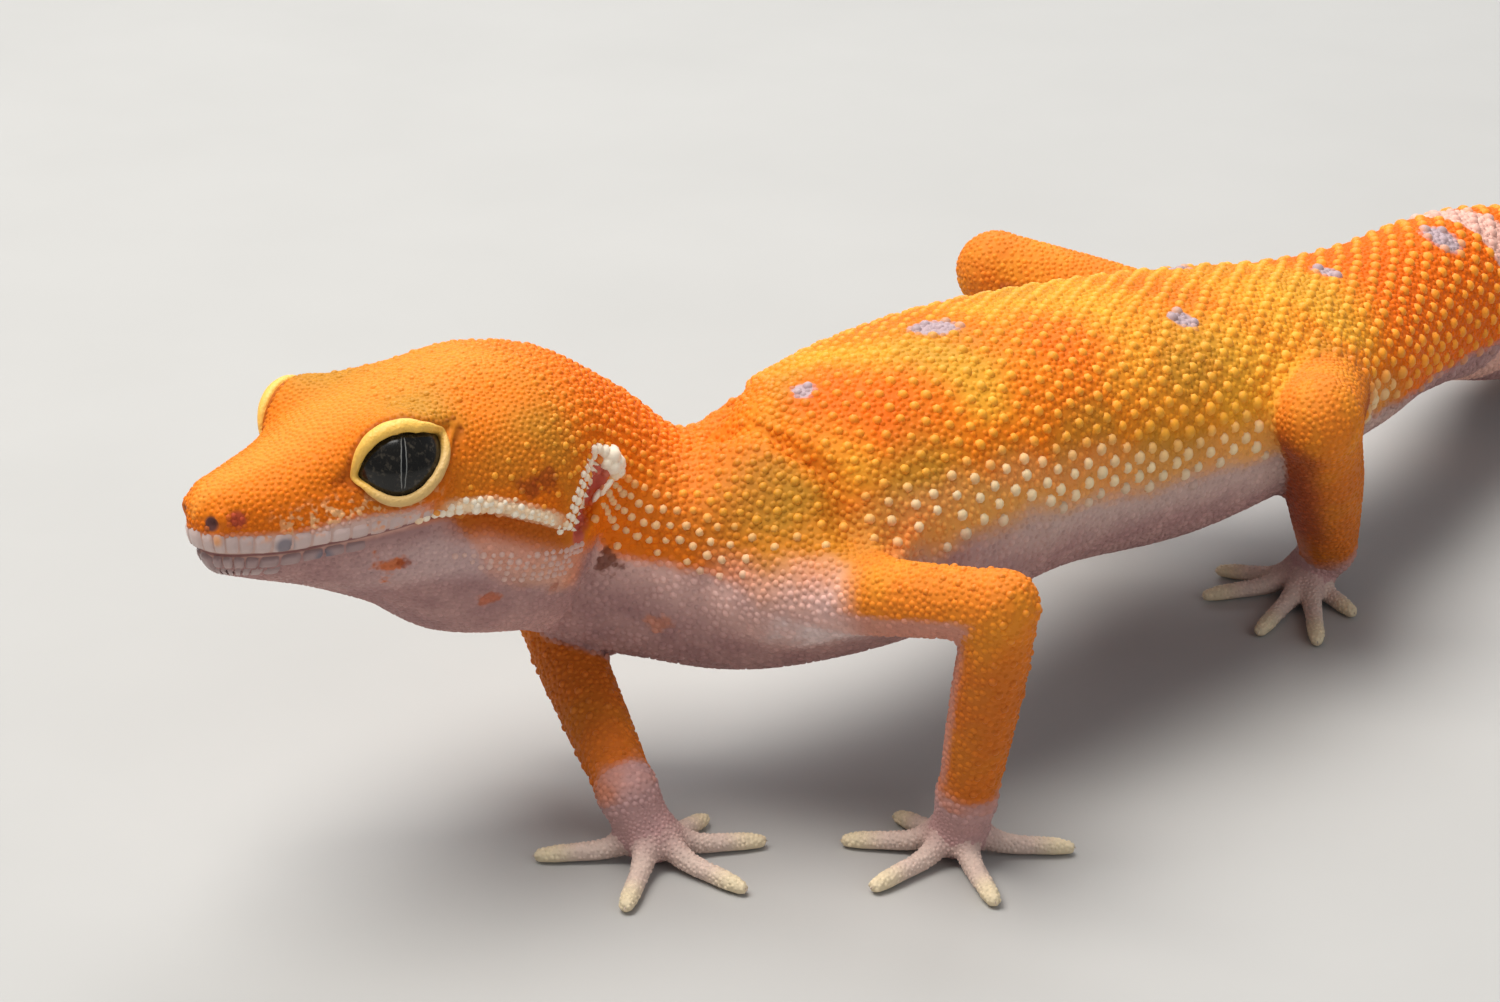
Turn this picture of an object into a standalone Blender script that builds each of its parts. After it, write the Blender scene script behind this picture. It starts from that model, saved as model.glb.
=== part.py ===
"""Leopard gecko, a whole life-size still model, raised on its forelegs and looking ahead.

The head points along -Y, the tail along +Y, the animal's left side is +X and +Z is up.
Head, neck, trunk and tail are lengths of one long tapered body whose bends, widths and depths
are stated at named stations, counted in millimetres from the tip of the snout. Legs and toes
are smaller tapered bodies of the same kind, run between joints. Feet and tail rest on the
plane z = 0.
"""
import math

import bpy
import bmesh
import numpy as np
from mathutils import Vector

OBJECT_NAME = "leopard_gecko"
MM = 0.001
GAP = 0.30

# ---------------------------------------------------------------- driving dimensions (mm)
HIP_AT = 95.75
VENT_AT = 106.0
TAIL_MIDDLE_AT = 130.0
TAIL_END_AT = 156.0
TAIL_TIP_AT = 187.0
HIP_POINT = (0.6, 27.7, 15.4)
FRAME_SHIFT = (1.23, -26.61, 0.0)

EYE_AT = 11.6
EYE_RADIUS = 3.0
EYE_ASIDE = 5.1
EYE_ABOVE = 2.65
MOUTH_CORNER_AT = 18.5
MOUTH_BELOW = 1.75
MOUTH_RISE = 0.5
AHEAD_OF_SNOUT = 3.0

# Bends of the spine: distance from the snout tip, heading and slope of the way towards the
# tail, and roll of the left side upwards, in degrees.
SPINE = {
    "snout": (0.0, 9.0, -3.0, 5.0),
    "temple": (20.0, 9.0, -3.0, 5.0),
    "nape": (26.0, 20.0, -12.0, 4.0),
    "neck": (31.5, 42.0, -26.0, 3.0),
    "neck_root": (37.0, 44.0, -22.0, 3.5),
    "shoulder": (43.0, 26.0, 2.0, 3.0),
    "chest": (51.0, 6.0, 5.0, 3.0),
    "ribs": (60.0, 0.0, -2.0, 2.0),
    "waist": (74.0, 0.0, -6.0, 0.0),
    "hip": (97.0, -2.0, -8.0, 0.0),
    "vent": (107.0, -6.0, -6.0, 0.0),
    "tail_root": (117.0, -11.0, -8.0, 0.0),
    "tail_fat": (131.0, -10.0, -15.0, 0.0),
    "tail_mid": (143.0, -3.0, -13.0, 0.0),
    "tail_low": (155.0, 6.0, -6.5, 0.0),
    "tail_thin": (171.0, 16.0, -8.5, 0.0),
    "tail_tip": (187.0, 26.0, -8.5, 0.0),
}

# Girths: distance, half width, height above and depth below the spine, squareness.
GIRTH = {
    "snout_tip": (0.0, 0.0, 0.0, 0.0, 2.0),
    "snout_round": (0.35, 1.5, 1.3, 2.0, 2.1),
    "nostril": (1.4, 2.7, 2.2, 3.5, 2.2),
    "upper_lip": (3.5, 3.9, 2.9, 4.3, 2.3),
    "canthus": (6.5, 5.1, 3.9, 5.2, 2.3),
    "eye_front": (9.0, 6.1, 5.1, 6.2, 2.2),
    "eye": (12.2, 7.4, 6.1, 7.7, 2.2),
    "eye_back": (16.0, 8.6, 7.1, 10.1, 2.3),
    "jaw_corner": (20.0, 9.4, 7.5, 11.0, 2.3),
    "ear": (24.0, 9.0, 7.1, 11.5, 2.2),
    "nape": (29.0, 7.6, 5.1, 12.0, 2.1),
    "neck": (34.0, 7.4, 3.6, 11.8, 2.0),
    "neck_root": (38.0, 8.3, 8.6, 10.9, 2.0),
    "shoulder": (43.0, 10.0, 9.2, 9.9, 2.1),
    "chest": (50.0, 10.9, 9.9, 9.7, 2.1),
    "ribs": (59.0, 11.2, 9.3, 9.0, 2.2),
    "belly": (74.0, 11.6, 8.2, 9.9, 2.2),
    "flank": (87.0, 10.6, 7.6, 9.1, 2.1),
    "hip": (97.0, 8.6, 7.0, 6.6, 2.1),
    "vent": (107.0, 7.0, 7.3, 5.3, 2.0),
    "tail_root": (113.0, 6.7, 7.5, 5.4, 2.0),
    "tail_fat": (131.0, 7.3, 7.5, 6.8, 2.0),
    "tail_mid": (147.0, 6.4, 6.0, 5.8, 2.0),
    "tail_thin": (165.0, 4.1, 3.9, 3.8, 2.0),
    "tail_fine": (179.0, 1.9, 1.8, 1.8, 2.0),
    "tail_tip": (187.0, 0.45, 0.45, 0.45, 2.0),
}

# Swellings and hollows: distance, its spread, angle from the back's ridge, its spread, height.
SWELLS = {
    "nostril": (1.3, 0.9, 52.0, 22.0, 0.20),
    "canthal_hollow": (7.2, 2.0, 70.0, 18.0, -0.35),
    "brow": (11.6, 3.3, 48.0, 17.0, 1.3),
    "temple_hollow": (18.0, 2.6, 42.0, 16.0, -0.35),
    "jaw_muscle": (20.5, 3.2, 100.0, 24.0, 0.35),
    "ear_hollow": (25.2, 1.2, 82.0, 13.0, -0.70),
    "shoulder": (46.0, 5.0, 95.0, 30.0, 0.50),
    "haunch": (99.0, 6.0, 85.0, 34.0, 0.60),
}


# ---------------------------------------------------------------- curves through stations
def ease(xs, ys, x):
    """Monotone cubic through the stations, without overshoot."""
    xs, ys, x = np.asarray(xs, float), np.asarray(ys, float), np.asarray(x, float)
    step = np.diff(xs)
    slope = np.diff(ys) / step
    tangent = np.zeros_like(ys)
    same = slope[1:] * slope[:-1] > 0
    w1, w2 = 2 * step[1:] + step[:-1], step[1:] + 2 * step[:-1]
    safe0, safe1 = np.where(same, slope[:-1], 1.0), np.where(same, slope[1:], 1.0)
    tangent[1:-1] = np.where(same, (w1 + w2) / (w1 / safe0 + w2 / safe1), 0.0)
    tangent[0], tangent[-1] = slope[0], slope[-1]
    i = np.clip(np.searchsorted(xs, x, side="right") - 1, 0, len(step) - 1)
    t = np.clip((x - xs[i]) / step[i], 0.0, 1.0)
    h = step[i]
    low = (1 + 2 * t) * (1 - t) ** 2 * ys[i] + t * (1 - t) ** 2 * h * tangent[i]
    return low + t * t * (3 - 2 * t) * ys[i + 1] - t * t * (1 - t) * h * tangent[i + 1]


def column(table, index):
    return [row[index] for row in table.values()]


def unit(v):
    return v / np.linalg.norm(v, axis=-1, keepdims=True)


# ---------------------------------------------------------------- the long body
class LongBody:
    """Spine, frame and surface of the head, neck, trunk and tail."""

    STEP = 0.25

    def __init__(self):
        self.s = np.arange(0.0, TAIL_TIP_AT + self.STEP / 2, self.STEP)
        place = column(SPINE, 0)
        yaw, pitch, roll = (np.radians(ease(place, column(SPINE, k), self.s)) for k in (1, 2, 3))
        along = np.stack([np.sin(yaw) * np.cos(pitch), np.cos(yaw) * np.cos(pitch),
                          np.sin(pitch)], 1)
        middle = (along[1:] + along[:-1]) * self.STEP / 2
        line = np.concatenate([np.zeros((1, 3)), np.cumsum(middle, 0)])
        hip = line[int(HIP_AT / self.STEP)]
        self.line = line - hip + np.array(HIP_POINT) + np.array(FRAME_SHIFT)
        level = np.stack([np.cos(yaw), -np.sin(yaw), 0 * yaw], 1)
        upright = np.cross(level, along)
        self.left = level * np.cos(roll)[:, None] + upright * np.sin(roll)[:, None]
        self.up = np.cross(self.left, along)
        self.along = along

    def sample(self, table, s):
        return np.stack([np.interp(s, self.s, table[:, k]) for k in range(3)], -1)

    def point(self, s, aside, above):
        """World point (mm) at distance s, to the left of and above the spine."""
        aside, above = np.asarray(aside)[..., None], np.asarray(above)[..., None]
        base = self.sample(self.line, s)
        return base + aside * self.sample(self.left, s) + above * self.sample(self.up, s)

    def radius(self, s, angle):
        """Distance from the spine to the surface; the angle is from the back to the left."""
        root = np.sqrt(column(GIRTH, 0))
        wide, high, deep, square = (ease(root, column(GIRTH, k), np.sqrt(s)) for k in range(1, 5))
        cos, sin = np.cos(angle), np.sin(angle)
        tall = np.where(cos > 0, high, deep) + 1e-9
        wide = wide + 1e-9
        r = (np.abs(sin / wide) ** square + np.abs(cos / tall) ** square) ** (-1.0 / square)
        fade = np.clip(s / 1.5, 0.0, 1.0)
        for at, spread, turn, turn_spread, height in SWELLS.values():
            for side in (-1, 1):
                off = (angle - side * math.radians(turn) + math.pi) % (2 * math.pi) - math.pi
                bell = ((s - at) / spread) ** 2 + (off / math.radians(turn_spread)) ** 2
                r = r + fade * height * np.exp(-bell)
        return r

    def ring(self, s, count, extra=0.0):
        angle = np.arange(count) / count * 2 * math.pi
        r = self.radius(np.full(count, float(s)), angle) + extra
        return self.point(np.full(count, float(s)), r * np.sin(angle), r * np.cos(angle))


# ---------------------------------------------------------------- legs and toes
def smooth_path(joints, bend, step=0.35):
    """Evenly spaced points along straight runs joined by arcs that start `bend` from a joint."""
    joints = [np.array(j, float) for j in joints]
    path = [joints[0]]
    for before, here, after in zip(joints, joints[1:], joints[2:]):
        near, far = here + bend * unit(before - here), here + bend * unit(after - here)
        for t in np.linspace(0.0, 1.0, 13):
            path.append((1 - t) ** 2 * near + 2 * t * (1 - t) * here + t * t * far)
    path.append(joints[-1])
    path = np.array(path)
    run = np.concatenate([[0], np.cumsum(np.linalg.norm(np.diff(path, axis=0), axis=1))])
    s = np.linspace(0, run[-1], max(2, int(run[-1] / step)) + 1)
    return s, np.stack([np.interp(s, run, path[:, k]) for k in range(3)], 1)


class Limb:
    """A tapered round body along joints; radii are stated at shares of its length."""

    def __init__(self, joints, radii, bend=0.5):
        self.s, self.line = smooth_path(joints, bend)
        self.length = self.s[-1]
        self.along = unit(np.gradient(self.line, axis=0))
        self.radii = radii
        up = np.array((0.0, 0.0, 1.0))
        frames = []
        for way in self.along:
            up = unit(up - way * np.dot(up, way))
            frames.append(up)
        self.up = np.array(frames)
        self.left = np.cross(self.along, self.up)

    def ring(self, s, count, extra=0.0):
        s = min(max(s, 0.0), self.length)
        centre, up, left = (np.array([np.interp(s, self.s, t[:, k]) for k in range(3)])
                            for t in (self.line, self.up, self.left))
        r = float(ease(column(self.radii, 0), column(self.radii, 1), s / self.length)) + extra
        angle = np.arange(count) / count * 2 * math.pi
        return centre + np.outer(np.sin(angle) * r, left) + np.outer(np.cos(angle) * r, up)


# ---------------------------------------------------------------- meshes and materials
def material(name, colour, roughness):
    mat = bpy.data.materials.new(name)
    mat.use_nodes = True
    shader = mat.node_tree.nodes["Principled BSDF"]
    shader.inputs["Base Color"].default_value = (*colour, 1.0)
    shader.inputs["Roughness"].default_value = roughness
    shader.inputs["Metallic"].default_value = 0.0
    return mat


def loft(name, rings, mat, group):
    """Closed body through rings of equal count, ends closed flat; a ring of one is a tip."""
    mesh = bmesh.new()
    loops = [[mesh.verts.new(Vector(p) * MM) for p in ring] for ring in rings]
    for one, two in zip(loops, loops[1:]):
        n = max(len(one), len(two))
        for k in range(n):
            a, b = one[k % len(one)], one[(k + 1) % len(one)]
            c, d = two[(k + 1) % len(two)], two[k % len(two)]
            mesh.faces.new(list(dict.fromkeys((a, b, c, d))))
    for loop in (loops[0], loops[-1]):
        if len(loop) > 1:
            mesh.faces.new(loop)
    bmesh.ops.recalc_face_normals(mesh, faces=mesh.faces)
    return finish(name, mesh, mat, group)


def finish(name, mesh, mat, group):
    data = bpy.data.meshes.new(name)
    mesh.to_mesh(data)
    mesh.free()
    data.shade_smooth()
    obj = bpy.data.objects.new(name, data)
    group.objects.link(obj)
    if mat:
        data.materials.append(mat)
    return obj


def ball(name, centre, radius, mat, group, around=16, rows=10):
    mesh = bmesh.new()
    bmesh.ops.create_uvsphere(mesh, u_segments=around, v_segments=rows, radius=radius * MM)
    bmesh.ops.translate(mesh, verts=mesh.verts, vec=Vector(centre) * MM)
    return finish(name, mesh, mat, group)


def apply_boolean(obj, other, operation):
    modifier = obj.modifiers.new("shape", "BOOLEAN")
    modifier.operation = operation
    modifier.object = other
    modifier.solver = "EXACT"
    depsgraph = bpy.context.evaluated_depsgraph_get()
    shaped = bpy.data.meshes.new_from_object(obj.evaluated_get(depsgraph))
    obj.modifiers.remove(modifier)
    old = obj.data
    obj.data = shaped
    bpy.data.meshes.remove(old)


def cutter(obj):
    obj.hide_render = True
    obj.display_type = "WIRE"
    return obj


# ---------------------------------------------------------------- head, neck, trunk, tail
def body_length(name, body, places, around, mat, group, extra=0.0):
    return loft(name, [body.ring(s, around, extra) for s in places], mat, group)


def head_stations():
    """Closer rings at the snout, even ones from the eyes back."""
    return np.concatenate([[0.06, 0.35, 0.9], np.linspace(1.8, 28.0 - GAP / 2, 20)])


def jaw_block(body, group, extra):
    """The space of the lower jaw: below the mouth line, from the snout to its corner."""
    corners = []
    ends = ((0.0, AHEAD_OF_SNOUT, 0.0), (MOUTH_CORNER_AT + extra, 0.0, MOUTH_RISE))
    for s, ahead, rise in ends:
        for aside in (-14.0, 14.0):
            for above in (-12.0, -MOUTH_BELOW + rise + extra):
                corners.append(body.point(s, aside, above) - ahead * body.along[0])
    mesh = bmesh.new()
    verts = [mesh.verts.new(Vector(c) * MM) for c in corners]
    bmesh.ops.convex_hull(mesh, input=verts)
    bmesh.ops.recalc_face_normals(mesh, faces=mesh.faces)
    return finish("jaw_space", mesh, None, group)


def eye_centre(body, side):
    return body.point(EYE_AT, side * EYE_ASIDE, EYE_ABOVE)


def build_head(body, mats, parts, cutters):
    rings = head_stations()
    head = body_length("head", body, rings, 28, mats["orange"], parts)
    jaw = body_length("lower_jaw", body, rings, 28, mats["pale"], parts)
    space = cutter(jaw_block(body, cutters, 0.0))
    apply_boolean(jaw, space, "INTERSECT")
    wide_space = cutter(jaw_block(body, cutters, GAP))
    apply_boolean(head, wide_space, "DIFFERENCE")
    for side, word in ((1, "left"), (-1, "right")):
        centre = eye_centre(body, side)
        socket = cutter(ball("socket_" + word, centre, EYE_RADIUS + GAP, None, cutters))
        apply_boolean(head, socket, "DIFFERENCE")
        ball("eye_" + word, centre, EYE_RADIUS, mats["eye"], parts)


def build_lengths(body, mats, parts, cutters):
    """Neck, trunk, hips and tail: lengths of the long body, a thin gap apart."""
    half = GAP / 2
    lengths = (
        ("neck", 28.0, 40.0, 7, 24, "orange"), ("trunk_front", 40.0, 64.0, 9, 24, "orange"),
        ("trunk_rear", 64.0, 88.0, 8, 24, "orange"), ("hips", 88.0, VENT_AT, 7, 24, "orange"),
        ("tail_base", VENT_AT, TAIL_MIDDLE_AT, 8, 20, "orange"),
        ("tail_middle", TAIL_MIDDLE_AT, TAIL_END_AT, 8, 20, "tail"))
    made = {}
    for name, start, end, count, around, mat in lengths:
        places = np.linspace(start + half, end - half, count)
        made[name] = body_length(name, body, places, around, mats[mat], parts)
    places = np.linspace(TAIL_END_AT + half, TAIL_TIP_AT, 10)
    made["tail_end"] = body_length("tail_end", body, places, 20, mats["tail"], parts)
    return made


# ---------------------------------------------------------------- limbs
# Radii at shares of the length; the upper length ends in the round of the elbow or knee.
UPPER_ARM = {"root": (0.0, 2.9), "biceps": (0.45, 2.6), "elbow": (0.8, 2.4),
             "round": (0.95, 1.9), "end": (1.0, 0.9)}
FOREARM = {"inside": (0.0, 1.2), "elbow": (0.14, 2.1), "muscle": (0.3, 2.45),
           "low": (0.75, 2.25), "wrist": (1.0, 2.0)}
THIGH = {"root": (0.0, 3.7), "muscle": (0.35, 3.7), "knee": (0.8, 3.4), "round": (0.95, 2.5),
         "end": (1.0, 1.1)}
SHIN = {"inside": (0.0, 1.5), "knee": (0.12, 2.6), "calf": (0.35, 3.05),
        "low": (0.75, 2.7), "ankle": (1.0, 2.3)}
JOINT_ROUND = 1.6
LIMB_SIDES = 12
TOE_SIDES = 7
# Way of a toe: share of its length out from the palm, height of its middle (mm).
TOE_RISE = ((0.05, 2.0), (0.42, 0.75), (0.75, 0.64), (1.0, 0.5))
TOE_RADII = {"root": (0.0, 1.25), "joint": (0.32, 0.8), "mid": (0.6, 0.66), "pad": (0.9, 0.62),
             "tip": (1.0, 0.36)}

# Joints (mm): where each leg leaves the spine, its elbow or knee, its wrist or ankle; then the
# middle of the palm or sole and the way its middle toe points, in degrees from -Y towards +X.
LEGS = {
    "left_fore": ((4.5, -31.0, 16.6), (19.3, -28.4, 19.2), (15.8, -27.2, 4.7),
                  (14.8, -26.8, 1.2), 0.0),
    "right_fore": ((-4.5, -28.5, 15.6), (-14.8, -34.2, 10.9), (-0.4, -41.2, 4.6),
                   (1.0, -40.5, 1.2), 90.0),
    "left_hind": ((4.5, 25.5, 15.5), (14.6, 11.2, 18.8), (8.2, 22.8, 3.9),
                  (6.9, 22.5, 1.2), 10.0),
    "right_hind": ((-4.0, 25.5, 15.5), (-19.3, 17.5, 20.0), (-14.4, 28.4, 4.2),
                   (-15.0, 27.4, 1.2), -30.0),
}
# Toes: fan angle from the middle toe and length (mm), inner toe first.
FORE_TOES = ((-97.0, 5.5), (-55.0, 7.0), (-3.0, 7.4), (58.0, 7.2), (133.0, 7.0))
HIND_TOES = ((-80.0, 6.6), (-43.0, 7.8), (4.0, 9.3), (29.0, 9.8), (60.0, 5.4))


def leg_tubes(key):
    """Upper and lower lengths of one leg; the upper runs on past the joint to round it."""
    root, joint, ankle = (np.array(point) + FRAME_SHIFT for point in LEGS[key][:3])
    upper, lower = (UPPER_ARM, FOREARM) if key.endswith("fore") else (THIGH, SHIN)
    end = joint + unit(joint - root) * JOINT_ROUND
    return Limb((root, joint, end), upper), Limb((joint, ankle), lower)


def build_foot(name, key, tube, mat, parts, cutters):
    """Palm or sole, five toes and their small flats, joined as one body."""
    facing = LEGS[key][4]
    ankle, middle = (np.array(LEGS[key][k]) + FRAME_SHIFT for k in (2, 3))
    fore = key.endswith("fore")
    wrist_r = (FOREARM["wrist"] if fore else SHIN["ankle"])[1]
    drop = {"top": (0.0, wrist_r - 0.02), "heel": (0.5, wrist_r + 0.1), "palm": (1.0, 1.7)}
    way = unit(middle - ankle)
    start = tube.line[-1] + tube.along[-1] * GAP
    pad = Limb((start - way, middle + way * 0.3), drop, bend=1.0)
    foot = loft(name, [pad.ring(s, 10) for s in np.linspace(0, pad.length, 4)], mat, parts)
    side = 1 if key.startswith("left") else -1
    for index, (fan, length) in enumerate(FORE_TOES if fore else HIND_TOES):
        heading = math.radians(facing + side * fan)
        out = np.array([math.sin(heading), -math.cos(heading), 0.0])
        path = [middle + out * length * reach for reach, _ in TOE_RISE]
        for point, (_, height) in zip(path, TOE_RISE):
            point[2] = height
        toe = Limb(path, TOE_RADII, bend=0.7)
        rings = [toe.ring(s, TOE_SIDES) for s in np.linspace(0, toe.length, 6)]
        part = cutter(loft("%s_toe_%d" % (name, index + 1), rings, None, cutters))
        apply_boolean(foot, part, "UNION")
    cuff = [tube.ring(s, LIMB_SIDES, GAP) for s in np.linspace(tube.length - 5.0, tube.length, 5)]
    cuff.append(cuff[-1] + tube.along[-1] * GAP)
    apply_boolean(foot, cutter(loft(name + "_cuff", cuff, None, cutters)), "DIFFERENCE")
    apply_boolean(foot, bpy.data.objects["floor_space"], "DIFFERENCE")
    return foot


def build_legs(body, mats, parts, cutters):
    names = {"left_fore": ("upper_arm_left", "forearm_left", "hand_left"),
             "right_fore": ("upper_arm_right", "forearm_right", "hand_right"),
             "left_hind": ("thigh_left", "shin_left", "foot_left"),
             "right_hind": ("thigh_right", "shin_right", "foot_right")}
    for key, (upper, lower, end) in names.items():
        near_tube, far_tube = leg_tubes(key)
        share = np.array([0.0, 0.15, 0.32, 0.5, 0.68, 0.82, 0.9, 0.96, 1.0])
        places = share * near_tube.length
        near = loft(upper, [near_tube.ring(s, LIMB_SIDES) for s in places], mats["orange"], parts)
        apply_boolean(near, bpy.data.objects["body_space"], "DIFFERENCE")
        space = [near_tube.ring(s, LIMB_SIDES, GAP) for s in places]
        space.append(space[-1] + near_tube.along[-1] * GAP)
        space = cutter(loft(upper + "_space", space, None, cutters))
        places = np.linspace(0.0, far_tube.length, 9)
        far = loft(lower, [far_tube.ring(s, LIMB_SIDES) for s in places], mats["orange"], parts)
        apply_boolean(far, space, "DIFFERENCE")
        apply_boolean(far, bpy.data.objects["body_space"], "DIFFERENCE")
        build_foot(end, key, far_tube, mats["pale"], parts, cutters)


# ---------------------------------------------------------------- the whole animal
def floor_space(group):
    mesh = bmesh.new()
    bmesh.ops.create_cube(mesh, size=1.0)
    bmesh.ops.scale(mesh, verts=mesh.verts, vec=(0.2, 0.4, 0.02))
    bmesh.ops.translate(mesh, verts=mesh.verts, vec=(0.0, 0.0, -0.01))
    return cutter(finish("floor_space", mesh, None, group))


def build():
    for obj in list(bpy.data.objects):
        bpy.data.objects.remove(obj)
    parts = bpy.data.collections.new(OBJECT_NAME)
    cutters = bpy.data.collections.new("cutters")
    for group in (parts, cutters):
        bpy.context.scene.collection.children.link(group)
    mats = {
        "orange": material("orange_skin", (0.78, 0.26, 0.03), 0.6),
        "tail": material("tail_skin", (0.80, 0.30, 0.08), 0.6),
        "pale": material("pale_skin", (0.70, 0.48, 0.46), 0.6),
        "eye": material("eye_gloss", (0.02, 0.02, 0.02), 0.08),
    }
    body = LongBody()
    floor_space(cutters)
    cutter(body_length("body_space", body, np.linspace(22.0, 125.0, 52), 24, None, cutters, GAP))
    build_head(body, mats, parts, cutters)
    lengths = build_lengths(body, mats, parts, cutters)
    for name in ("tail_middle", "tail_end"):
        apply_boolean(lengths[name], bpy.data.objects["floor_space"], "DIFFERENCE")
    build_legs(body, mats, parts, cutters)


build()
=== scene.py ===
"""Leopard gecko: a life-size still model of an orange leopard gecko, raised on its forelegs.

The skin, its folds and lids, the scales, eyes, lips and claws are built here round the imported
solids. Lengths in the form tables are millimetres; every finished mesh is in metres.
"""
import math

import bpy
import bmesh
import numpy as np
import openvdb
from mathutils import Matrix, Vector
from mathutils.bvhtree import BVHTree


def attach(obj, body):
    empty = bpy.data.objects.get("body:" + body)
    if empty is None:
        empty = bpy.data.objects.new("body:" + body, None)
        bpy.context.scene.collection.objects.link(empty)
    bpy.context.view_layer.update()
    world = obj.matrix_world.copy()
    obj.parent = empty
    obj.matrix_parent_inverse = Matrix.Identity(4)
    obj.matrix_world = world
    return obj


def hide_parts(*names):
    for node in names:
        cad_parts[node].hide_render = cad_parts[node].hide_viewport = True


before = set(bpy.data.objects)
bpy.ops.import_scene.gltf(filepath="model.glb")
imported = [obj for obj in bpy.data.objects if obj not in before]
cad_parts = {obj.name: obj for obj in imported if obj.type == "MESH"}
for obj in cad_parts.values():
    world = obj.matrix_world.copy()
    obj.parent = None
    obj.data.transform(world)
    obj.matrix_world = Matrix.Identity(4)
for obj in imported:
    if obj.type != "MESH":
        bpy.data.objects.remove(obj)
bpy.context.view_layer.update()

# ================================================================ the form of the long body
# Head, neck, trunk and tail of a gecko are one supple tapered body. Its bends and girths are
# stated at stations counted in millimetres from the tip of the snout, as in the solids.
# HIP_AT along the spine stands at HIP_POINT, and the shift brings the animal's middle over the
# origin. The skin lies COAT_DEPTH inside the solids' outline, which leaves room for the scales.
MM = 0.001
HIP_AT = 95.75
TAIL_TIP_AT = 187.0
HIP_POINT = (0.6, 27.7, 15.4)
FRAME_SHIFT = np.array((1.23, -26.61, 0.0))
COAT_DEPTH = 0.22

# Distance from the snout tip, heading and slope of the way towards the tail, roll (degrees).
SPINE = {
    "snout": (0.0, 9.0, -3.0, 5.0),
    "temple": (20.0, 9.0, -3.0, 5.0),
    "nape": (26.0, 20.0, -12.0, 4.0),
    "neck": (31.5, 42.0, -26.0, 3.0),
    "neck_root": (37.0, 44.0, -22.0, 3.5),
    "shoulder": (43.0, 26.0, 2.0, 3.0),
    "chest": (51.0, 6.0, 5.0, 3.0),
    "ribs": (60.0, 0.0, -2.0, 2.0),
    "waist": (74.0, 0.0, -6.0, 0.0),
    "hip": (97.0, -2.0, -8.0, 0.0),
    "vent": (107.0, -6.0, -6.0, 0.0),
    "tail_root": (117.0, -11.0, -8.0, 0.0),
    "tail_fat": (131.0, -10.0, -15.0, 0.0),
    "tail_mid": (143.0, -3.0, -13.0, 0.0),
    "tail_low": (155.0, 6.0, -6.5, 0.0),
    "tail_thin": (171.0, 16.0, -8.5, 0.0),
    "tail_tip": (187.0, 26.0, -8.5, 0.0),
}

# Girths: distance, half width, height above and depth below the spine, squareness.
GIRTH = {
    "snout_tip": (0.0, 0.0, 0.0, 0.0, 2.0),
    "snout_round": (0.35, 1.5, 1.3, 2.0, 2.1),
    "nostril": (1.4, 2.7, 2.2, 3.5, 2.2),
    "upper_lip": (3.5, 3.9, 2.9, 4.3, 2.3),
    "canthus": (6.5, 5.1, 3.9, 5.2, 2.3),
    "eye_front": (9.0, 6.1, 5.1, 6.2, 2.2),
    "eye": (12.2, 7.4, 6.1, 7.7, 2.2),
    "eye_back": (16.0, 8.6, 7.1, 10.1, 2.3),
    "jaw_corner": (20.0, 9.4, 7.5, 11.0, 2.3),
    "ear": (24.0, 9.0, 7.1, 11.5, 2.2),
    "nape": (29.0, 7.6, 5.1, 12.0, 2.1),
    "neck": (34.0, 7.4, 3.6, 11.8, 2.0),
    "neck_root": (38.0, 8.3, 8.6, 10.9, 2.0),
    "shoulder": (43.0, 10.0, 9.2, 9.9, 2.1),
    "chest": (50.0, 10.9, 9.9, 9.7, 2.1),
    "ribs": (59.0, 11.2, 9.3, 9.0, 2.2),
    "belly": (74.0, 11.6, 8.2, 9.9, 2.2),
    "flank": (87.0, 10.6, 7.6, 9.1, 2.1),
    "hip": (97.0, 8.6, 7.0, 6.6, 2.1),
    "vent": (107.0, 7.0, 7.3, 5.3, 2.0),
    "tail_root": (113.0, 6.7, 7.5, 5.4, 2.0),
    "tail_fat": (131.0, 7.3, 7.5, 6.8, 2.0),
    "tail_mid": (147.0, 6.4, 6.0, 5.8, 2.0),
    "tail_thin": (165.0, 4.1, 3.9, 3.8, 2.0),
    "tail_fine": (179.0, 1.9, 1.8, 1.8, 2.0),
    "tail_tip": (187.0, 0.45, 0.45, 0.45, 2.0),
}

# Swellings and hollows: distance, its spread, angle from the back's ridge, its spread, height.
SWELLS = {
    "nostril": (1.3, 0.9, 52.0, 22.0, 0.20),
    "canthal_hollow": (7.2, 2.0, 70.0, 18.0, -0.35),
    "brow": (11.6, 3.3, 48.0, 17.0, 1.3),
    "temple_hollow": (18.0, 2.6, 42.0, 16.0, -0.35),
    "jaw_muscle": (20.5, 3.2, 100.0, 24.0, 0.35),
    "ear_hollow": (25.2, 1.2, 82.0, 13.0, -0.70),
    "shoulder": (46.0, 5.0, 95.0, 30.0, 0.50),
    "haunch": (99.0, 6.0, 85.0, 34.0, 0.60),
}


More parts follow.
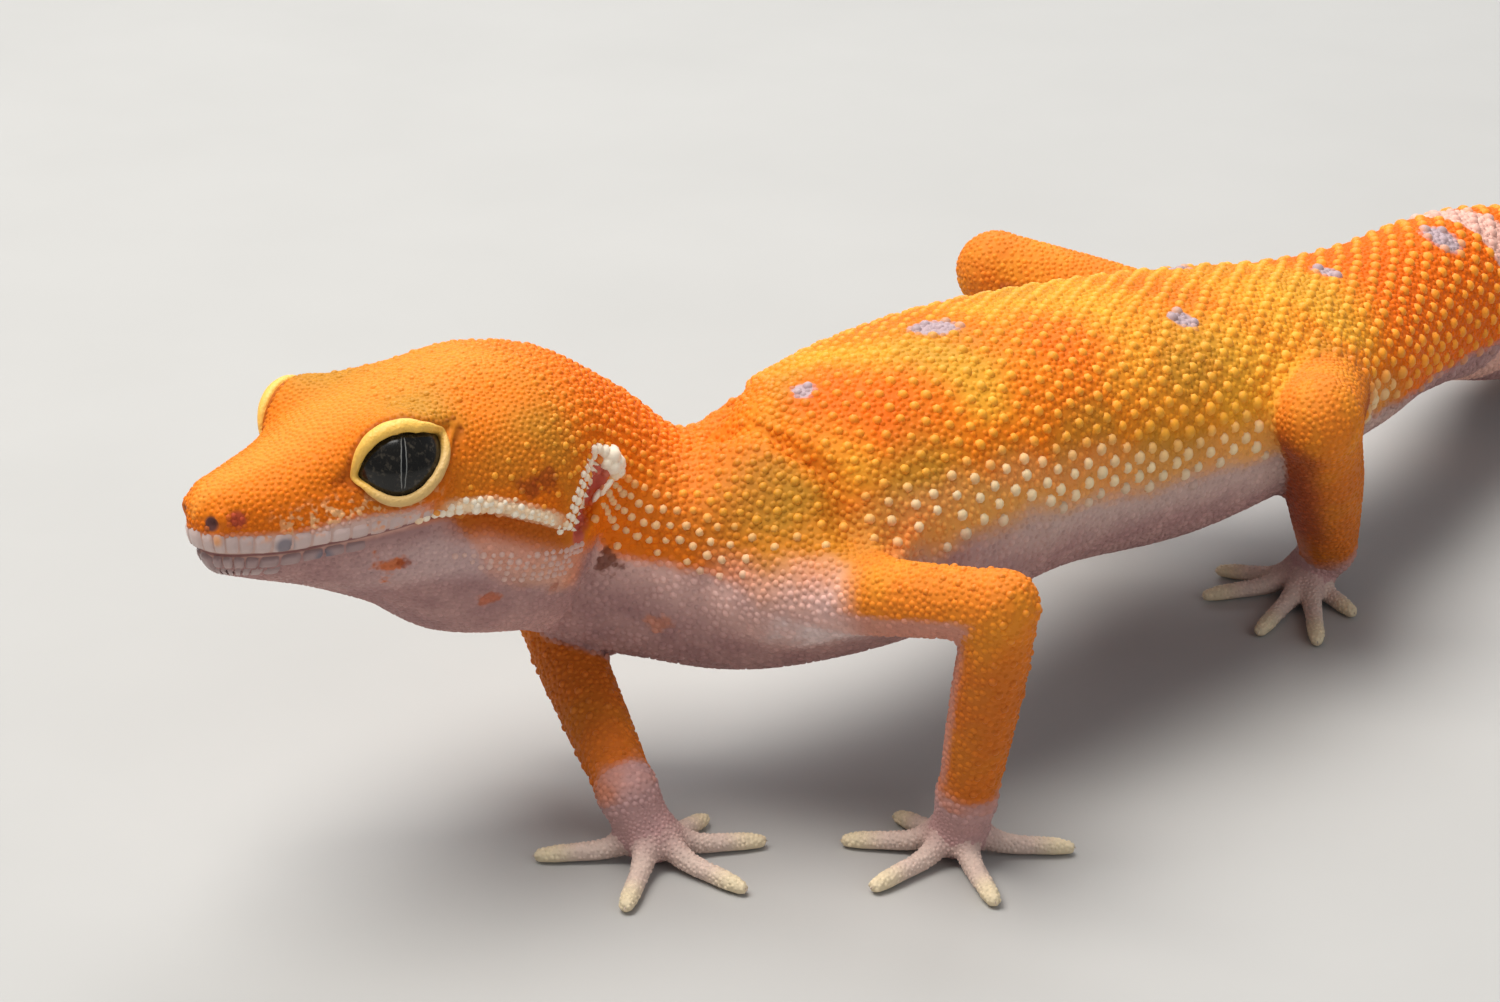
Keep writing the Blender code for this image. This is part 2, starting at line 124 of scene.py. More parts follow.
def ease(xs, ys, x):
    """Monotone cubic through the stations, without overshoot."""
    xs, ys, x = np.asarray(xs, float), np.asarray(ys, float), np.asarray(x, float)
    step = np.diff(xs)
    slope = np.diff(ys) / step
    tangent = np.zeros_like(ys)
    same = slope[1:] * slope[:-1] > 0
    w1, w2 = 2 * step[1:] + step[:-1], step[1:] + 2 * step[:-1]
    safe0, safe1 = np.where(same, slope[:-1], 1.0), np.where(same, slope[1:], 1.0)
    tangent[1:-1] = np.where(same, (w1 + w2) / (w1 / safe0 + w2 / safe1), 0.0)
    tangent[0], tangent[-1] = slope[0], slope[-1]
    i = np.clip(np.searchsorted(xs, x, side="right") - 1, 0, len(step) - 1)
    t = np.clip((x - xs[i]) / step[i], 0.0, 1.0)
    h = step[i]
    low = (1 + 2 * t) * (1 - t) ** 2 * ys[i] + t * (1 - t) ** 2 * h * tangent[i]
    return low + t * t * (3 - 2 * t) * ys[i + 1] - t * t * (1 - t) * h * tangent[i + 1]


def column(table, index):
    """One value of every station of a table."""
    return [row[index] for row in table.values()]


def unit(v):
    return v / np.linalg.norm(v, axis=-1, keepdims=True)


# ---------------------------------------------------------------- the long body
class LongBody:
    """Spine, frame and surface of the head, neck, trunk and tail."""

    STEP = 0.25

    def __init__(self):
        self.s = np.arange(0.0, TAIL_TIP_AT + self.STEP / 2, self.STEP)
        place = column(SPINE, 0)
        yaw, pitch, roll = (np.radians(ease(place, column(SPINE, k), self.s)) for k in (1, 2, 3))
        along = np.stack([np.sin(yaw) * np.cos(pitch), np.cos(yaw) * np.cos(pitch),
                          np.sin(pitch)], 1)
        middle = (along[1:] + along[:-1]) * self.STEP / 2
        line = np.concatenate([np.zeros((1, 3)), np.cumsum(middle, 0)])
        hip = line[int(HIP_AT / self.STEP)]
        self.line = line - hip + np.array(HIP_POINT) + np.array(FRAME_SHIFT)
        level = np.stack([np.cos(yaw), -np.sin(yaw), 0 * yaw], 1)
        upright = np.cross(level, along)
        self.left = level * np.cos(roll)[:, None] + upright * np.sin(roll)[:, None]
        self.up = np.cross(self.left, along)
        self.along = along

    def sample(self, table, s):
        return np.stack([np.interp(s, self.s, table[:, k]) for k in range(3)], -1)

    def point(self, s, aside, above):
        """World point (mm) at distance s, to the left of and above the spine."""
        aside, above = np.asarray(aside)[..., None], np.asarray(above)[..., None]
        base = self.sample(self.line, s)
        return base + aside * self.sample(self.left, s) + above * self.sample(self.up, s)

    def radius(self, s, angle):
        """Distance from the spine to the surface; the angle is from the back to the left."""
        root = np.sqrt(column(GIRTH, 0))
        wide, high, deep, square = (ease(root, column(GIRTH, k), np.sqrt(s)) for k in range(1, 5))
        cos, sin = np.cos(angle), np.sin(angle)
        tall = np.where(cos > 0, high, deep) + 1e-9
        wide = wide + 1e-9
        r = (np.abs(sin / wide) ** square + np.abs(cos / tall) ** square) ** (-1.0 / square)
        fade = np.clip(s / 1.5, 0.0, 1.0)
        for at, spread, turn, turn_spread, height in SWELLS.values():
            for side in (-1, 1):
                off = (angle - side * math.radians(turn) + math.pi) % (2 * math.pi) - math.pi
                bell = ((s - at) / spread) ** 2 + (off / math.radians(turn_spread)) ** 2
                r = r + fade * height * np.exp(-bell)
        return r

    def ring(self, s, count):
        """World points round the surface at distance s."""
        angle = np.arange(count) / count * 2 * math.pi
        r = self.radius(np.full(count, float(s)), angle)
        return self.point(np.full(count, float(s)), r * np.sin(angle), r * np.cos(angle))

    def locate(self, points):
        """Distance along the spine of world points, and their places left of it and above it."""
        nodes = self.line[::4]
        near = np.concatenate([
            ((nodes ** 2).sum(1) - 2 * some @ nodes.T).argmin(1) * 4
            for some in np.array_split(points, 1 + len(points) // 40000)])
        s = self.s[near]
        for _ in range(3):
            off = points - self.sample(self.line, s)
            s = np.clip(s + (off * self.sample(self.along, s)).sum(1), 0.0, TAIL_TIP_AT)
        off = points - self.sample(self.line, s)
        return s, (off * self.sample(self.left, s)).sum(1), (off * self.sample(self.up, s)).sum(1)

    def depth(self, points):
        """How far world points lie outside the body, along the radius; negative inside."""
        s, aside, above = self.locate(points)
        return np.hypot(aside, above) - self.radius(s, np.arctan2(aside, above))


body = LongBody()

# ================================================================ the form of the limbs
# Each leg is a chain of soft round lengths: upper arm or thigh, forearm or shin, palm or sole
# and five toes. Joints and radii are those of the solids. Each row holds the leg's root, its
# elbow or knee, its wrist or ankle, the middle of its foot, and the way the foot points (degrees).
LEGS = {
    "left_fore": ((4.5, -31.0, 16.6), (19.3, -28.4, 19.2), (15.8, -27.2, 4.7),
                  (14.8, -26.8, 1.2), 0.0),
    "right_fore": ((-4.5, -28.5, 15.6), (-14.8, -34.2, 10.9), (-0.4, -41.2, 4.6),
                   (1.0, -40.5, 1.2), 90.0),
    "left_hind": ((4.5, 25.5, 15.5), (14.6, 11.2, 18.8), (8.2, 22.8, 3.9),
                  (6.9, 22.5, 1.2), 10.0),
    "right_hind": ((-4.0, 25.5, 15.5), (-19.3, 17.5, 20.0), (-14.4, 28.4, 4.2),
                   (-15.0, 27.4, 1.2), -30.0),
}
# Toes, the inner one first: angle from the foot's own way (degrees) and length. Then the height
# of a toe's middle line at shares of its length.
FORE_TOES = ((-97.0, 5.5), (-55.0, 7.0), (-3.0, 7.4), (58.0, 7.2), (133.0, 7.0))
HIND_TOES = ((-80.0, 6.6), (-43.0, 7.8), (4.0, 9.3), (29.0, 9.8), (60.0, 5.4))
TOE_RISE = ((0.05, 2.0), (0.42, 0.75), (0.75, 0.64), (1.0, 0.5))
# Radii of the lengths of a leg at shares of each of them.
ARM_RADII = (((0.0, 2.9), (0.45, 2.6), (1.0, 2.35)), ((0.0, 2.3), (0.3, 2.45), (0.75, 2.2), (1.0, 1.95)))
LEG_RADII = (((0.0, 3.7), (0.4, 3.7), (1.0, 3.15)), ((0.0, 2.9), (0.35, 3.05), (0.75, 2.65), (1.0, 2.2)))
PALM_RADII = ((0.0, 1.9), (0.6, 1.75), (1.0, 1.45))
TOE_RADII = ((0.0, 1.1), (0.3, 0.72), (0.6, 0.6), (0.92, 0.57), (1.0, 0.46))


class Chain:
    """Round cones end to end: points, radii, and how far down the leg each point is (0 to 4)."""

    def __init__(self, points, radii, reach):
        self.points, self.radii, self.reach = (np.array(v, float) for v in (points, radii, reach))

    def piece(self, start, stop):
        """The part of the chain between two shares of its length."""
        first, last = (round(share * (len(self.points) - 1)) for share in (start, min(stop, 1.0)))
        return Chain(*(v[first:last + 1] for v in (self.points, self.radii, self.reach)))

    def measure(self, points):
        """Distance to the chain and place down the leg, for world points."""
        best, reach = np.full(len(points), 1e3), np.zeros(len(points))
        for k in range(len(self.points) - 1):
            start, way = self.points[k], self.points[k + 1] - self.points[k]
            share = np.clip((points - start) @ way / (way @ way), 0.0, 1.0)
            gap = np.linalg.norm(points - start - share[:, None] * way, axis=1)
            gap = gap - self.radii[k] - share * (self.radii[k + 1] - self.radii[k])
            closer = gap < best
            best = np.where(closer, gap, best)
            here = self.reach[k] + share * (self.reach[k + 1] - self.reach[k])
            reach = np.where(closer, here, reach)
        return best, reach

    def outside(self, points):
        return self.measure(points)[0]


def bent(joints, bend, steps=9):
    """Corner points with a rounded bend at each inner one."""
    path = [joints[0]]
    for before, here, after in zip(joints, joints[1:], joints[2:]):
        near, far = here + bend * unit(before - here), here + bend * unit(after - here)
        path += [(1 - t) ** 2 * near + 2 * t * (1 - t) * here + t * t * far
                 for t in np.linspace(0.0, 1.0, steps)]
    return np.array(path + [joints[-1]])


def tapered(points, radii, first, last):
    """A chain whose radii are stated at shares of its length."""
    run = np.concatenate([[0.0], np.cumsum(np.linalg.norm(np.diff(points, axis=0), axis=1))])
    even = np.linspace(0.0, 1.0, max(3, int(run[-1] / 0.7)))
    points = np.stack([np.interp(even, run / run[-1], points[:, k]) for k in range(3)], 1)
    shares, sizes = zip(*radii)
    return Chain(points, ease(shares, sizes, even) - COAT_DEPTH * (last <= 2), first + (last - first) * even)


def leg_chains(key):
    """The two long lengths and the palm or sole of one leg."""
    root, joint, ankle, middle = (np.array(p) + FRAME_SHIFT for p in LEGS[key][:4])
    upper, lower = ARM_RADII if key.endswith("fore") else LEG_RADII
    return {"upper": tapered(np.array([root, joint]), upper, 0.0, 1.0),
            "lower": tapered(np.array([joint, ankle]), lower, 1.0, 2.0),
            "palm": tapered(np.array([ankle, middle]), PALM_RADII, 2.0, 3.0)}


def toe_paths(key):
    """Middle line of each toe of one foot, in world millimetres."""
    middle = np.array(LEGS[key][3]) + FRAME_SHIFT
    side = 1 if key.startswith("left") else -1
    paths = []
    for fan, length in FORE_TOES if key.endswith("fore") else HIND_TOES:
        heading = math.radians(LEGS[key][4] + side * fan)
        out = np.array([math.sin(heading), -math.cos(heading), 0.0])
        path = np.array([middle + out * length * share for share, _ in TOE_RISE])
        path[:, 2] = [height for _, height in TOE_RISE]
        paths.append(bent(path, 0.7))
    return paths


legs = {key: leg_chains(key) for key in LEGS}
toes = {key: [tapered(path, TOE_RADII, 3.0, 4.0) for path in toe_paths(key)] for key in LEGS}

# ================================================================ the skin
# A gecko's skin is one soft dry sheet from lips to tail and toes. It is meshed here from fields
# of distances: the long body, the legs blended softly into it, then lids, lips, ears, nostrils
# and folds, on finer cubes for the head and the feet than for the trunk.
HEAD_CUBE, TRUNK_CUBE, FOOT_CUBE = 0.22, 0.60, 0.25
# Where the finer meshes meet the trunk's: a place along the neck, shares of each forearm or shin.
# A cut through trunk or leg takes the faces within CUT_REACH of it, up to CUT_SKIN off the body.
NECK_CUT = 27.0
CUT_REACH, CUT_SKIN = 17.0, 0.7
LIMB_CUTS = {"left_fore": 0.62, "right_fore": 0.62, "left_hind": 0.86, "right_hind": 0.62}


class Field:
    """Distances in millimetres at the corners of a box of even cubes."""

    def __init__(self, low, high, cube):
        self.cube = cube
        self.first = np.floor(np.array(low) / cube).astype(int)
        self.shape = tuple(np.ceil(np.array(high) / cube).astype(int) - self.first + 1)
        self.value = np.full(self.shape, 6.0, np.float32)

    def add_surface(self, points, quads, reach):
        """Take the distances to a closed surface, up to `reach` away."""
        grid = openvdb.FloatGrid.createLevelSetFromPolygons(
            points.astype(np.float32), quads=quads.astype(np.uint32),
            transform=openvdb.createLinearTransform(voxelSize=self.cube),
            halfWidth=reach / self.cube)
        grid.copyToArray(self.value, ijk=tuple(int(v) for v in self.first))

    def part(self, low, high):
        """Slices and node positions of the part of the box between two corners."""
        start = np.clip(np.floor(np.array(low) / self.cube).astype(int) - self.first, 0, None)
        stop = np.ceil(np.array(high) / self.cube).astype(int) - self.first + 1
        stop = np.minimum(np.maximum(stop, start), self.shape)
        axes = [(np.arange(a, b) + f) * self.cube for a, b, f in zip(start, stop, self.first)]
        nodes = np.stack(np.meshgrid(*axes, indexing="ij"), -1).reshape(-1, 3)
        return tuple(slice(a, b) for a, b in zip(start, stop)), nodes

    def shape_part(self, low, high, change):
        """Replace values between two corners by change(values, nodes)."""
        place, nodes = self.part(low, high)
        if len(nodes):
            old = self.value[place]
            self.value[place] = change(old.ravel(), nodes).reshape(old.shape)

    def add_chain(self, chain, blend):
        margin = chain.radii.max() + blend + 3 * self.cube
        self.shape_part(chain.points.min(0) - margin, chain.points.max(0) + margin,
                        lambda old, nodes: soft_min(old, chain.measure(nodes)[0], blend))

    def mesh(self):
        grid = openvdb.FloatGrid(6.0)
        grid.copyFromArray(self.value, ijk=tuple(int(v) for v in self.first))
        grid.transform = openvdb.createLinearTransform(voxelSize=self.cube)
        points, _, quads = grid.convertToPolygons(isovalue=0.0, adaptivity=0.0)
        return points.astype(float), quads.astype(int)


def soft_min(a, b, blend):
    """The lesser of two distances, rounded over where they are within `blend`."""
    return np.minimum(a, b) - np.maximum(blend - np.abs(a - b), 0.0) ** 2 / (4 * blend)


def soft_max(a, b, blend):
    return -soft_min(-a, -b, blend)


def long_loft(start, stop, around=96):
    """Closed surface of a length of the long body: points and four-sided faces."""
    near = np.array([0.01, 0.05, 0.12, 0.22, 0.35, 0.5, 0.7, 0.95, 1.25, 1.6])
    places = np.concatenate([near, np.arange(2.0, TAIL_TIP_AT + 0.1, 0.5)])
    places = places[(places >= start) & (places <= stop)]
    rings = np.array([body.ring(s, around) for s in places])
    ends = [np.repeat(rings[k].mean(0)[None], around, 0) for k in (0, -1)]
    points = np.concatenate([ends[0][None], rings, ends[1][None]])
    row, turn = np.meshgrid(np.arange(len(points) - 1), np.arange(around), indexing="ij")
    after = (turn + 1) % around
    quads = np.stack([row * around + turn, row * around + after, (row + 1) * around + after,
                      (row + 1) * around + turn], -1)
    return points.reshape(-1, 3), quads.reshape(-1, 4)


# The mouth: its line, the height of its lip plates, and the cheek fold that carries it on.
MOUTH_LINE = {0.0: -1.95, 1.0: -1.95, 3.4: -2.02, 4.9: -1.95, 6.1: -1.77, 8.3: -1.56, 9.8: -1.34,
              11.1: -1.04, 12.1: -0.72, 13.3: -0.48, 15.8: -0.53, 17.4: -1.04, 18.9: -1.51,
              20.2: -2.2, 22.0: -3.0}
LIP_TOP = {0.0: -0.5, 3.3: -0.63, 6.6: -0.70, 8.9: -0.47, 10.6: -0.1, 12.4: 0.1, 13.5: -0.3}
FOLD_DEPTH = {0.0: 0.16, 10.0: 0.18, 13.3: 0.35, 16.0: 0.55, 18.5: 0.45, 21.0: 0.0}


def along_table(table, s):
    return ease(list(table.keys()), list(table.values()), s)


# The eyes look out, a little up and ahead; the opening between the lids is a tilted almond. Its
# edge is stated on a ball of EDGE_RADIUS, just outside the eye's own.
EYE_AT, EYE_ASIDE, EYE_ABOVE, EYE_RADIUS = 11.6, 5.1, 2.65, 2.92
EYE_TILT = 20.0
EDGE_RADIUS = 2.95
# The opening's edge on the ball, ahead of the eye's middle and above it (mm), from the front
# corner over the top to the back corner and round underneath.
EYE_OPENING = ((2.6, 0.65), (2.2, 1.0), (1.77, 1.27), (1.08, 1.5), (0.25, 1.58), (-0.5, 1.42),
               (-1.5, 0.92), (-2.3, 0.5), (-2.82, 0.2), (-2.55, -0.4), (-2.1, -0.95),
               (-1.45, -1.35), (-0.68, -1.66), (0.15, -1.83), (0.9, -1.74), (1.5, -1.4),
               (1.97, -0.82), (2.35, -0.1))


class EyePlace:
    """Middle and axes of one eye, and the edge of its opening as angles from the eye's axis."""

    def __init__(self, side):
        self.centre = body.point(EYE_AT, side * EYE_ASIDE, EYE_ABOVE)
        left, up, along = (body.sample(t, EYE_AT) for t in (body.left, body.up, body.along))
        self.out = unit(0.86 * side * left + 0.30 * up - 0.40 * along)
        tilt = math.radians(EYE_TILT)
        front = -along * math.cos(tilt) - up * math.sin(tilt)
        self.front = unit(front - self.out * (front @ self.out))
        self.high = np.cross(self.front, self.out) * side
        x, y = np.array(EYE_OPENING).T
        turn = np.arctan2(y, x) % (2 * math.pi)
        order = np.argsort(turn)
        self.turn, self.edge = turn[order], np.arcsin(np.hypot(x, y)[order] / EDGE_RADIUS)

    def polar(self, points):
        """Distance from the middle, turn about the axis and arc (mm) outside the opening."""
        off = points - self.centre
        r = np.linalg.norm(off, axis=1) + 1e-9
        turn = np.arctan2(off @ self.high, off @ self.front)
        angle = np.arccos(np.clip(off @ self.out / r, -1, 1))
        return r, turn, (angle - self.edge_at(turn)) * EDGE_RADIUS

    def edge_at(self, turn):
        return np.interp(turn, self.turn, self.edge, period=2 * math.pi)

    def lid_half(self, turn):
        """Half the breadth of the lid: broad above, finer below, least at the corners."""
        top, nose = np.clip(np.sin(turn), 0, 1), np.clip(np.cos(turn - 0.2), 0, 1)
        return 0.36 + 0.15 * top ** 0.7 - 0.16 * nose ** 6

    def lid_rim(self, r, turn, arc, reach):
        """1 in the crease round the outside of the lid, falling off to 0 beside it."""
        return np.exp(-((arc - 2 * self.lid_half(turn) - 0.08) / 0.2) ** 2) * (r < reach)

    def spot(self, turn, angle, r):
        """World points at a turn about the axis, an angle from it and a distance."""
        turn, angle = np.asarray(turn)[..., None], np.asarray(angle)[..., None]
        flat = np.cos(turn) * self.front + np.sin(turn) * self.high
        return self.centre + np.asarray(r)[..., None] * (
            np.sin(angle) * flat + np.cos(angle) * self.out)


SIDES = ((1, "left"), (-1, "right"))
eyes = {word: EyePlace(side) for side, word in SIDES}


def shape_eye(old, nodes, eye):
    """Lids bulge over the ball; between them the skin sinks into the socket that holds it."""
    r, turn, arc = eye.polar(nodes)
    mound = r - 3.40 + np.clip(arc - 1.2, 0.0, None) * 0.25
    skin = soft_min(old, mound, 0.9)
    skin = skin + 0.22 * eye.lid_rim(r, turn, arc, 4.4)
    return soft_max(skin, np.minimum(0.42 - arc, r - 2.55), 0.08)


def shape_mouth(old, nodes):
    """Lower lip and cheek lie back a little below the mouth line; a fine groove parts the lips."""
    near = np.abs(old) < 1.6
    s, aside, above = body.locate(nodes[near])
    below = along_table(MOUTH_LINE, s) - above
    flank = np.clip(np.abs(aside) / 1.0, 0.0, 1.0) + (s < 1.2)
    step = np.clip(below / 0.22 + 0.3, 0.0, 1.0) * np.exp(-np.clip(below, 0, None) ** 2 / 2.6)
    groove = np.exp(-(below / 0.2) ** 2) * np.interp(s, (0, 13, 14.5), (0.3, 0.3, 0.0))
    ridge = np.exp(-((below + 0.75) / 0.5) ** 2) * np.interp(s, (12, 15, 19, 21), (0, 0.16, 0.16, 0))
    new = old.copy()
    new[near] += np.clip(flank, 0, 1) * (along_table(FOLD_DEPTH, s) * step + groove - ridge)
    return new


# Ends of the ear slit and its middle: distance along, aside, above the spine.
EAR_TOP, EAR_FOOT, EAR_MIDDLE = (25.9, 8.0, 0.9), (22.7, 9.3, -3.1), (24.2, 8.7, -1.1)


def shape_ear(old, nodes, side):
    """A deep slit behind the jaw, leaning forward towards its foot."""
    top, foot = (body.point(s, side * aside, above) for s, aside, above in (EAR_TOP, EAR_FOOT))
    middle, way = (top + foot) / 2, unit(top - foot)
    out = side * body.sample(body.left, EAR_MIDDLE[0])
    out = unit(out - way * (out @ way))
    off = nodes - middle - out * 0.1
    u, v, w = off @ way / 2.4, off @ np.cross(way, out) / 0.95, off @ out / 1.7
    slit = (np.sqrt(u * u + v * v + w * w) - 1.0) * 0.85
    return soft_max(old, -slit, 0.25)


def shape_nostril(old, nodes, side):
    """A small pit near the snout's tip, with a swollen rim behind it."""
    r = np.linalg.norm(nodes - body.point(0.5, side * 1.75, 0.12), axis=1)
    rim = np.linalg.norm(nodes - body.point(1.2, side * 1.9, 0.35), axis=1) - 0.55
    return soft_max(soft_min(old, rim, 0.5), 0.46 - r, 0.12)


def head_field():
    """The head and nape, with mouth, eyes, ears and nostrils."""
    points, quads = long_loft(0.0, 35.0)
    collar = body.ring(NECK_CUT + 1.0, 8)
    low, high = points.min(0) - 1.0, points.max(0) + 1.0
    high[1] = collar[:, 1].max() + 1.0
    field = Field(low, high, HEAD_CUBE)
    field.add_surface(points, quads, 2.6)
    field.value += COAT_DEPTH
    field.shape_part(low, high, shape_mouth)
    for side, word in SIDES:
        eye = eyes[word]
        field.shape_part(eye.centre - 6.0, eye.centre + 6.0,
                         lambda old, nodes: shape_eye(old, nodes, eye))
        ear = body.point(EAR_MIDDLE[0], side * EAR_MIDDLE[1], EAR_MIDDLE[2])
        field.shape_part(ear - 4.0, ear + 4.0, lambda old, nodes: shape_ear(old, nodes, side))
        nose = body.point(0.6, side * 1.8, 0.2)
        field.shape_part(nose - 2.5, nose + 2.5, lambda old, nodes: shape_nostril(old, nodes, side))
    return field


# Creases of the trunk: distance along, its spread, angle, its spread (degrees), depth (mm).
CREASES = (
    (34.5, 0.7, 128.0, 18.0, 0.35), (37.6, 0.7, 122.0, 20.0, 0.40),
    (50.2, 0.55, 98.0, 10.0, 0.30), (54.0, 0.6, 99.0, 12.0, -0.40), (46.8, 0.5, 97.0, 9.0, 0.25),
    (92.5, 1.0, 84.0, 26.0, 0.45), (96.0, 0.8, 96.0, 18.0, 0.30), (29.5, 0.8, 118.0, 22.0, 0.30),
)


# The fold where the neck tucks into the shoulder: angle from the ridge to distance along.
NECK_FOLD = {0.0: 35.2, 27.0: 36.9, 40.0: 39.9, 50.0: 41.7, 60.0: 42.6, 78.0: 42.8, 91.0: 43.0,
             110.0: 43.6}


def shape_creases(old, nodes):
    """Skin folds: across the throat and neck root, behind the armpit, before the haunch."""
    near = np.abs(old) < 2.0
    s, aside, above = body.locate(nodes[near])
    turn = np.degrees(np.abs(np.arctan2(aside, above)))
    change = np.zeros(len(s))
    for at, spread, angle, width, depth in CREASES:
        lean = at + (turn - angle) * 0.012
        change += depth * np.exp(-((s - lean) / spread) ** 2 - ((turn - angle) / width) ** 2)
    tuck = s - along_table(NECK_FOLD, turn)
    tuck_share = np.clip((104.0 - turn) / 22.0, 0.0, 1.0) * np.clip((turn + 8.0) / 20.0, 0.0, 1.0)
    change += tuck_share * (0.8 * np.exp(-(tuck / 0.6) ** 2)
                            - 0.2 * np.exp(-((tuck - 1.5) / 0.9) ** 2))
    across, down = s - 43.2, (turn - 101.0) * 0.17
    fan = np.exp(-((np.hypot(across, down) - 2.8) / 1.5) ** 2) * (turn < 102)
    change += 0.26 * fan * np.cos(11.0 * np.arctan2(down, across))
    pleats = np.exp(-((s - 42.5) / 4.2) ** 2 - ((turn - 122) / 20.0) ** 2)
    change += 0.09 * pleats * np.cos((s + 0.02 * (turn - 100)) * 2 * math.pi / 0.95)
    new = old.copy()
    new[near] += change
    return new


def trunk_field():
    """Neck, trunk and tail, with the legs down to where the finer feet begin."""
    points, quads = long_loft(24.0, TAIL_TIP_AT)
    ends = np.concatenate([c.points for leg in legs.values() for c in leg.values()])
    low = np.minimum(points.min(0), ends.min(0) - 3.5) - 1.0
    high = np.maximum(points.max(0), ends.max(0) + 3.5) + 1.0
    field = Field(low, high, TRUNK_CUBE)
    field.add_surface(points, quads, 3.6)
    field.value += COAT_DEPTH
    field.shape_part(low, high, shape_creases)
    for key, leg in legs.items():
        fore = key.endswith("fore")
        limb = Field(low, high, TRUNK_CUBE)
        limb.add_chain(leg["upper"], 0.1)
        field.value = soft_min(field.value, limb.value, 3.4 if fore else 1.7).astype(np.float32)
        field.add_chain(leg["lower"].piece(0.0, LIMB_CUTS[key] + 0.16), 0.6)
    return field


def foot_field(key):
    """The lower end of one leg with its palm or sole and toes."""
    leg = legs[key]
    shin = leg["lower"].piece(LIMB_CUTS[key] - 0.2, 1.0)
    ends = np.concatenate([shin.points, leg["palm"].points] + [c.points for c in toes[key]])
    field = Field(ends.min(0) - 3.2, ends.max(0) + 3.2, FOOT_CUBE)
    field.add_chain(shin, 0.1)
    field.add_chain(leg["palm"], 0.6)
    for toe in toes[key]:
        field.add_chain(toe, 0.7)
    return field


def on_floor(field):
    """Soft undersides settle flat on the ground."""
    heights = (np.arange(field.shape[2]) + field.first[2]) * field.cube
    field.value = soft_max(field.value, (0.04 - heights)[None, None, :], 0.25).astype(np.float32)
    return field


def limb_cut(key):
    """Point and direction (down the leg) where a finer foot meets the limb."""
    lower = legs[key]["lower"].points
    way = unit(lower[-1] - lower[0])
    return lower[0] + (lower[-1] - lower[0]) * LIMB_CUTS[key], way


def cut_side(mesh, faces, point, normal):
    """Remove what lies beyond a plane among some faces; returns the edges left open."""
    geometry = list(dict.fromkeys(
        item for face in faces for item in (face, *face.edges, *face.verts)))
    cut = bmesh.ops.bisect_plane(mesh, geom=geometry, dist=1e-7, plane_co=Vector(point * MM),
                                 plane_no=Vector(normal), clear_outer=True)
    return [item for item in cut["geom_cut"] if isinstance(item, bmesh.types.BMEdge)]


def join_skin():
    """Mesh every field and bridge their open rims into one closed skin."""
    mesh = bmesh.new()
    part = mesh.faces.layers.int.new("part")

    def take(number, field):
        points, quads = field.mesh()
        verts = [mesh.verts.new(p * MM) for p in points]
        for quad in quads:
            face = mesh.faces.new([verts[k] for k in quad])
            face[part] = number

    def near(number, point, depth):
        """Faces of one part near a point and on or inside the surface that `depth` measures."""
        found = [f for f in mesh.faces if f[part] == number
                 and (f.calc_center_median() / MM - Vector(point)).length < CUT_REACH]
        middles = np.array([f.calc_center_median() for f in found]) / MM
        return [f for f, d in zip(found, depth(middles)) if d < CUT_SKIN]

    take(0, head_field())
    take(1, on_floor(trunk_field()))
    neck, way = body.point(NECK_CUT, 0, 0), body.sample(body.along, NECK_CUT)
    whole = [f for f in mesh.faces if f[part] == 0]
    rims = [cut_side(mesh, whole, neck - way * 0.15, way)
            + cut_side(mesh, near(1, neck, body.depth), neck + way * 0.25, -way)]
    for number, key in enumerate(LEGS, start=2):
        take(number, on_floor(foot_field(key)))
        point, down = limb_cut(key)
        stub = legs[key]["lower"].piece(LIMB_CUTS[key] - 0.2, LIMB_CUTS[key] + 0.16)
        rims.append(
            cut_side(mesh, near(number, point, stub.outside), point + down * 0.15, -down)
            + cut_side(mesh, near(1, point, stub.outside), point - down * 0.2, down))
    for rim in rims:
        bmesh.ops.bridge_loops(mesh, edges=rim)
    loose = [v for v in mesh.verts if not v.link_faces]
    bmesh.ops.delete(mesh, geom=loose, context="VERTS")
    data = bpy.data.meshes.new("skin")
    mesh.to_mesh(data)
    mesh.free()
    return data


def add_object(name, data, material):
    obj = bpy.data.objects.new(name, data)
    bpy.context.scene.collection.objects.link(obj)
    data.materials.append(material)
    data.shade_smooth()
    return obj


skin_mesh = join_skin()

# Places kept on every vertex, for the markings: the body's own coordinates, and the leg's.
INNER_SIDE = {"left_fore": (-0.72, -0.6, -0.35), "right_fore": (0.62, 0.65, -0.45),
              "left_hind": (-0.5, -0.3, -0.8), "right_hind": (0.6, 0.2, -0.7)}


def mesh_points(data):
    flat = np.empty(len(data.vertices) * 3)
    data.vertices.foreach_get("co", flat)
    return flat.reshape(-1, 3) / MM


def vectors(values):
    """Rows of three numbers held on the vertices of a mesh."""
    flat = np.empty(len(values) * 3, np.float32)
    values.foreach_get("vector", flat)
    return flat.reshape(-1, 3)


def keep(data, name, values):
    """Store a vector (or a number) for every vertex."""
    kind, field = ("FLOAT_VECTOR", "vector") if values.ndim == 2 else ("FLOAT", "value")
    data.attributes.new(name, kind, "POINT").data.foreach_set(field, values.astype("f").ravel())


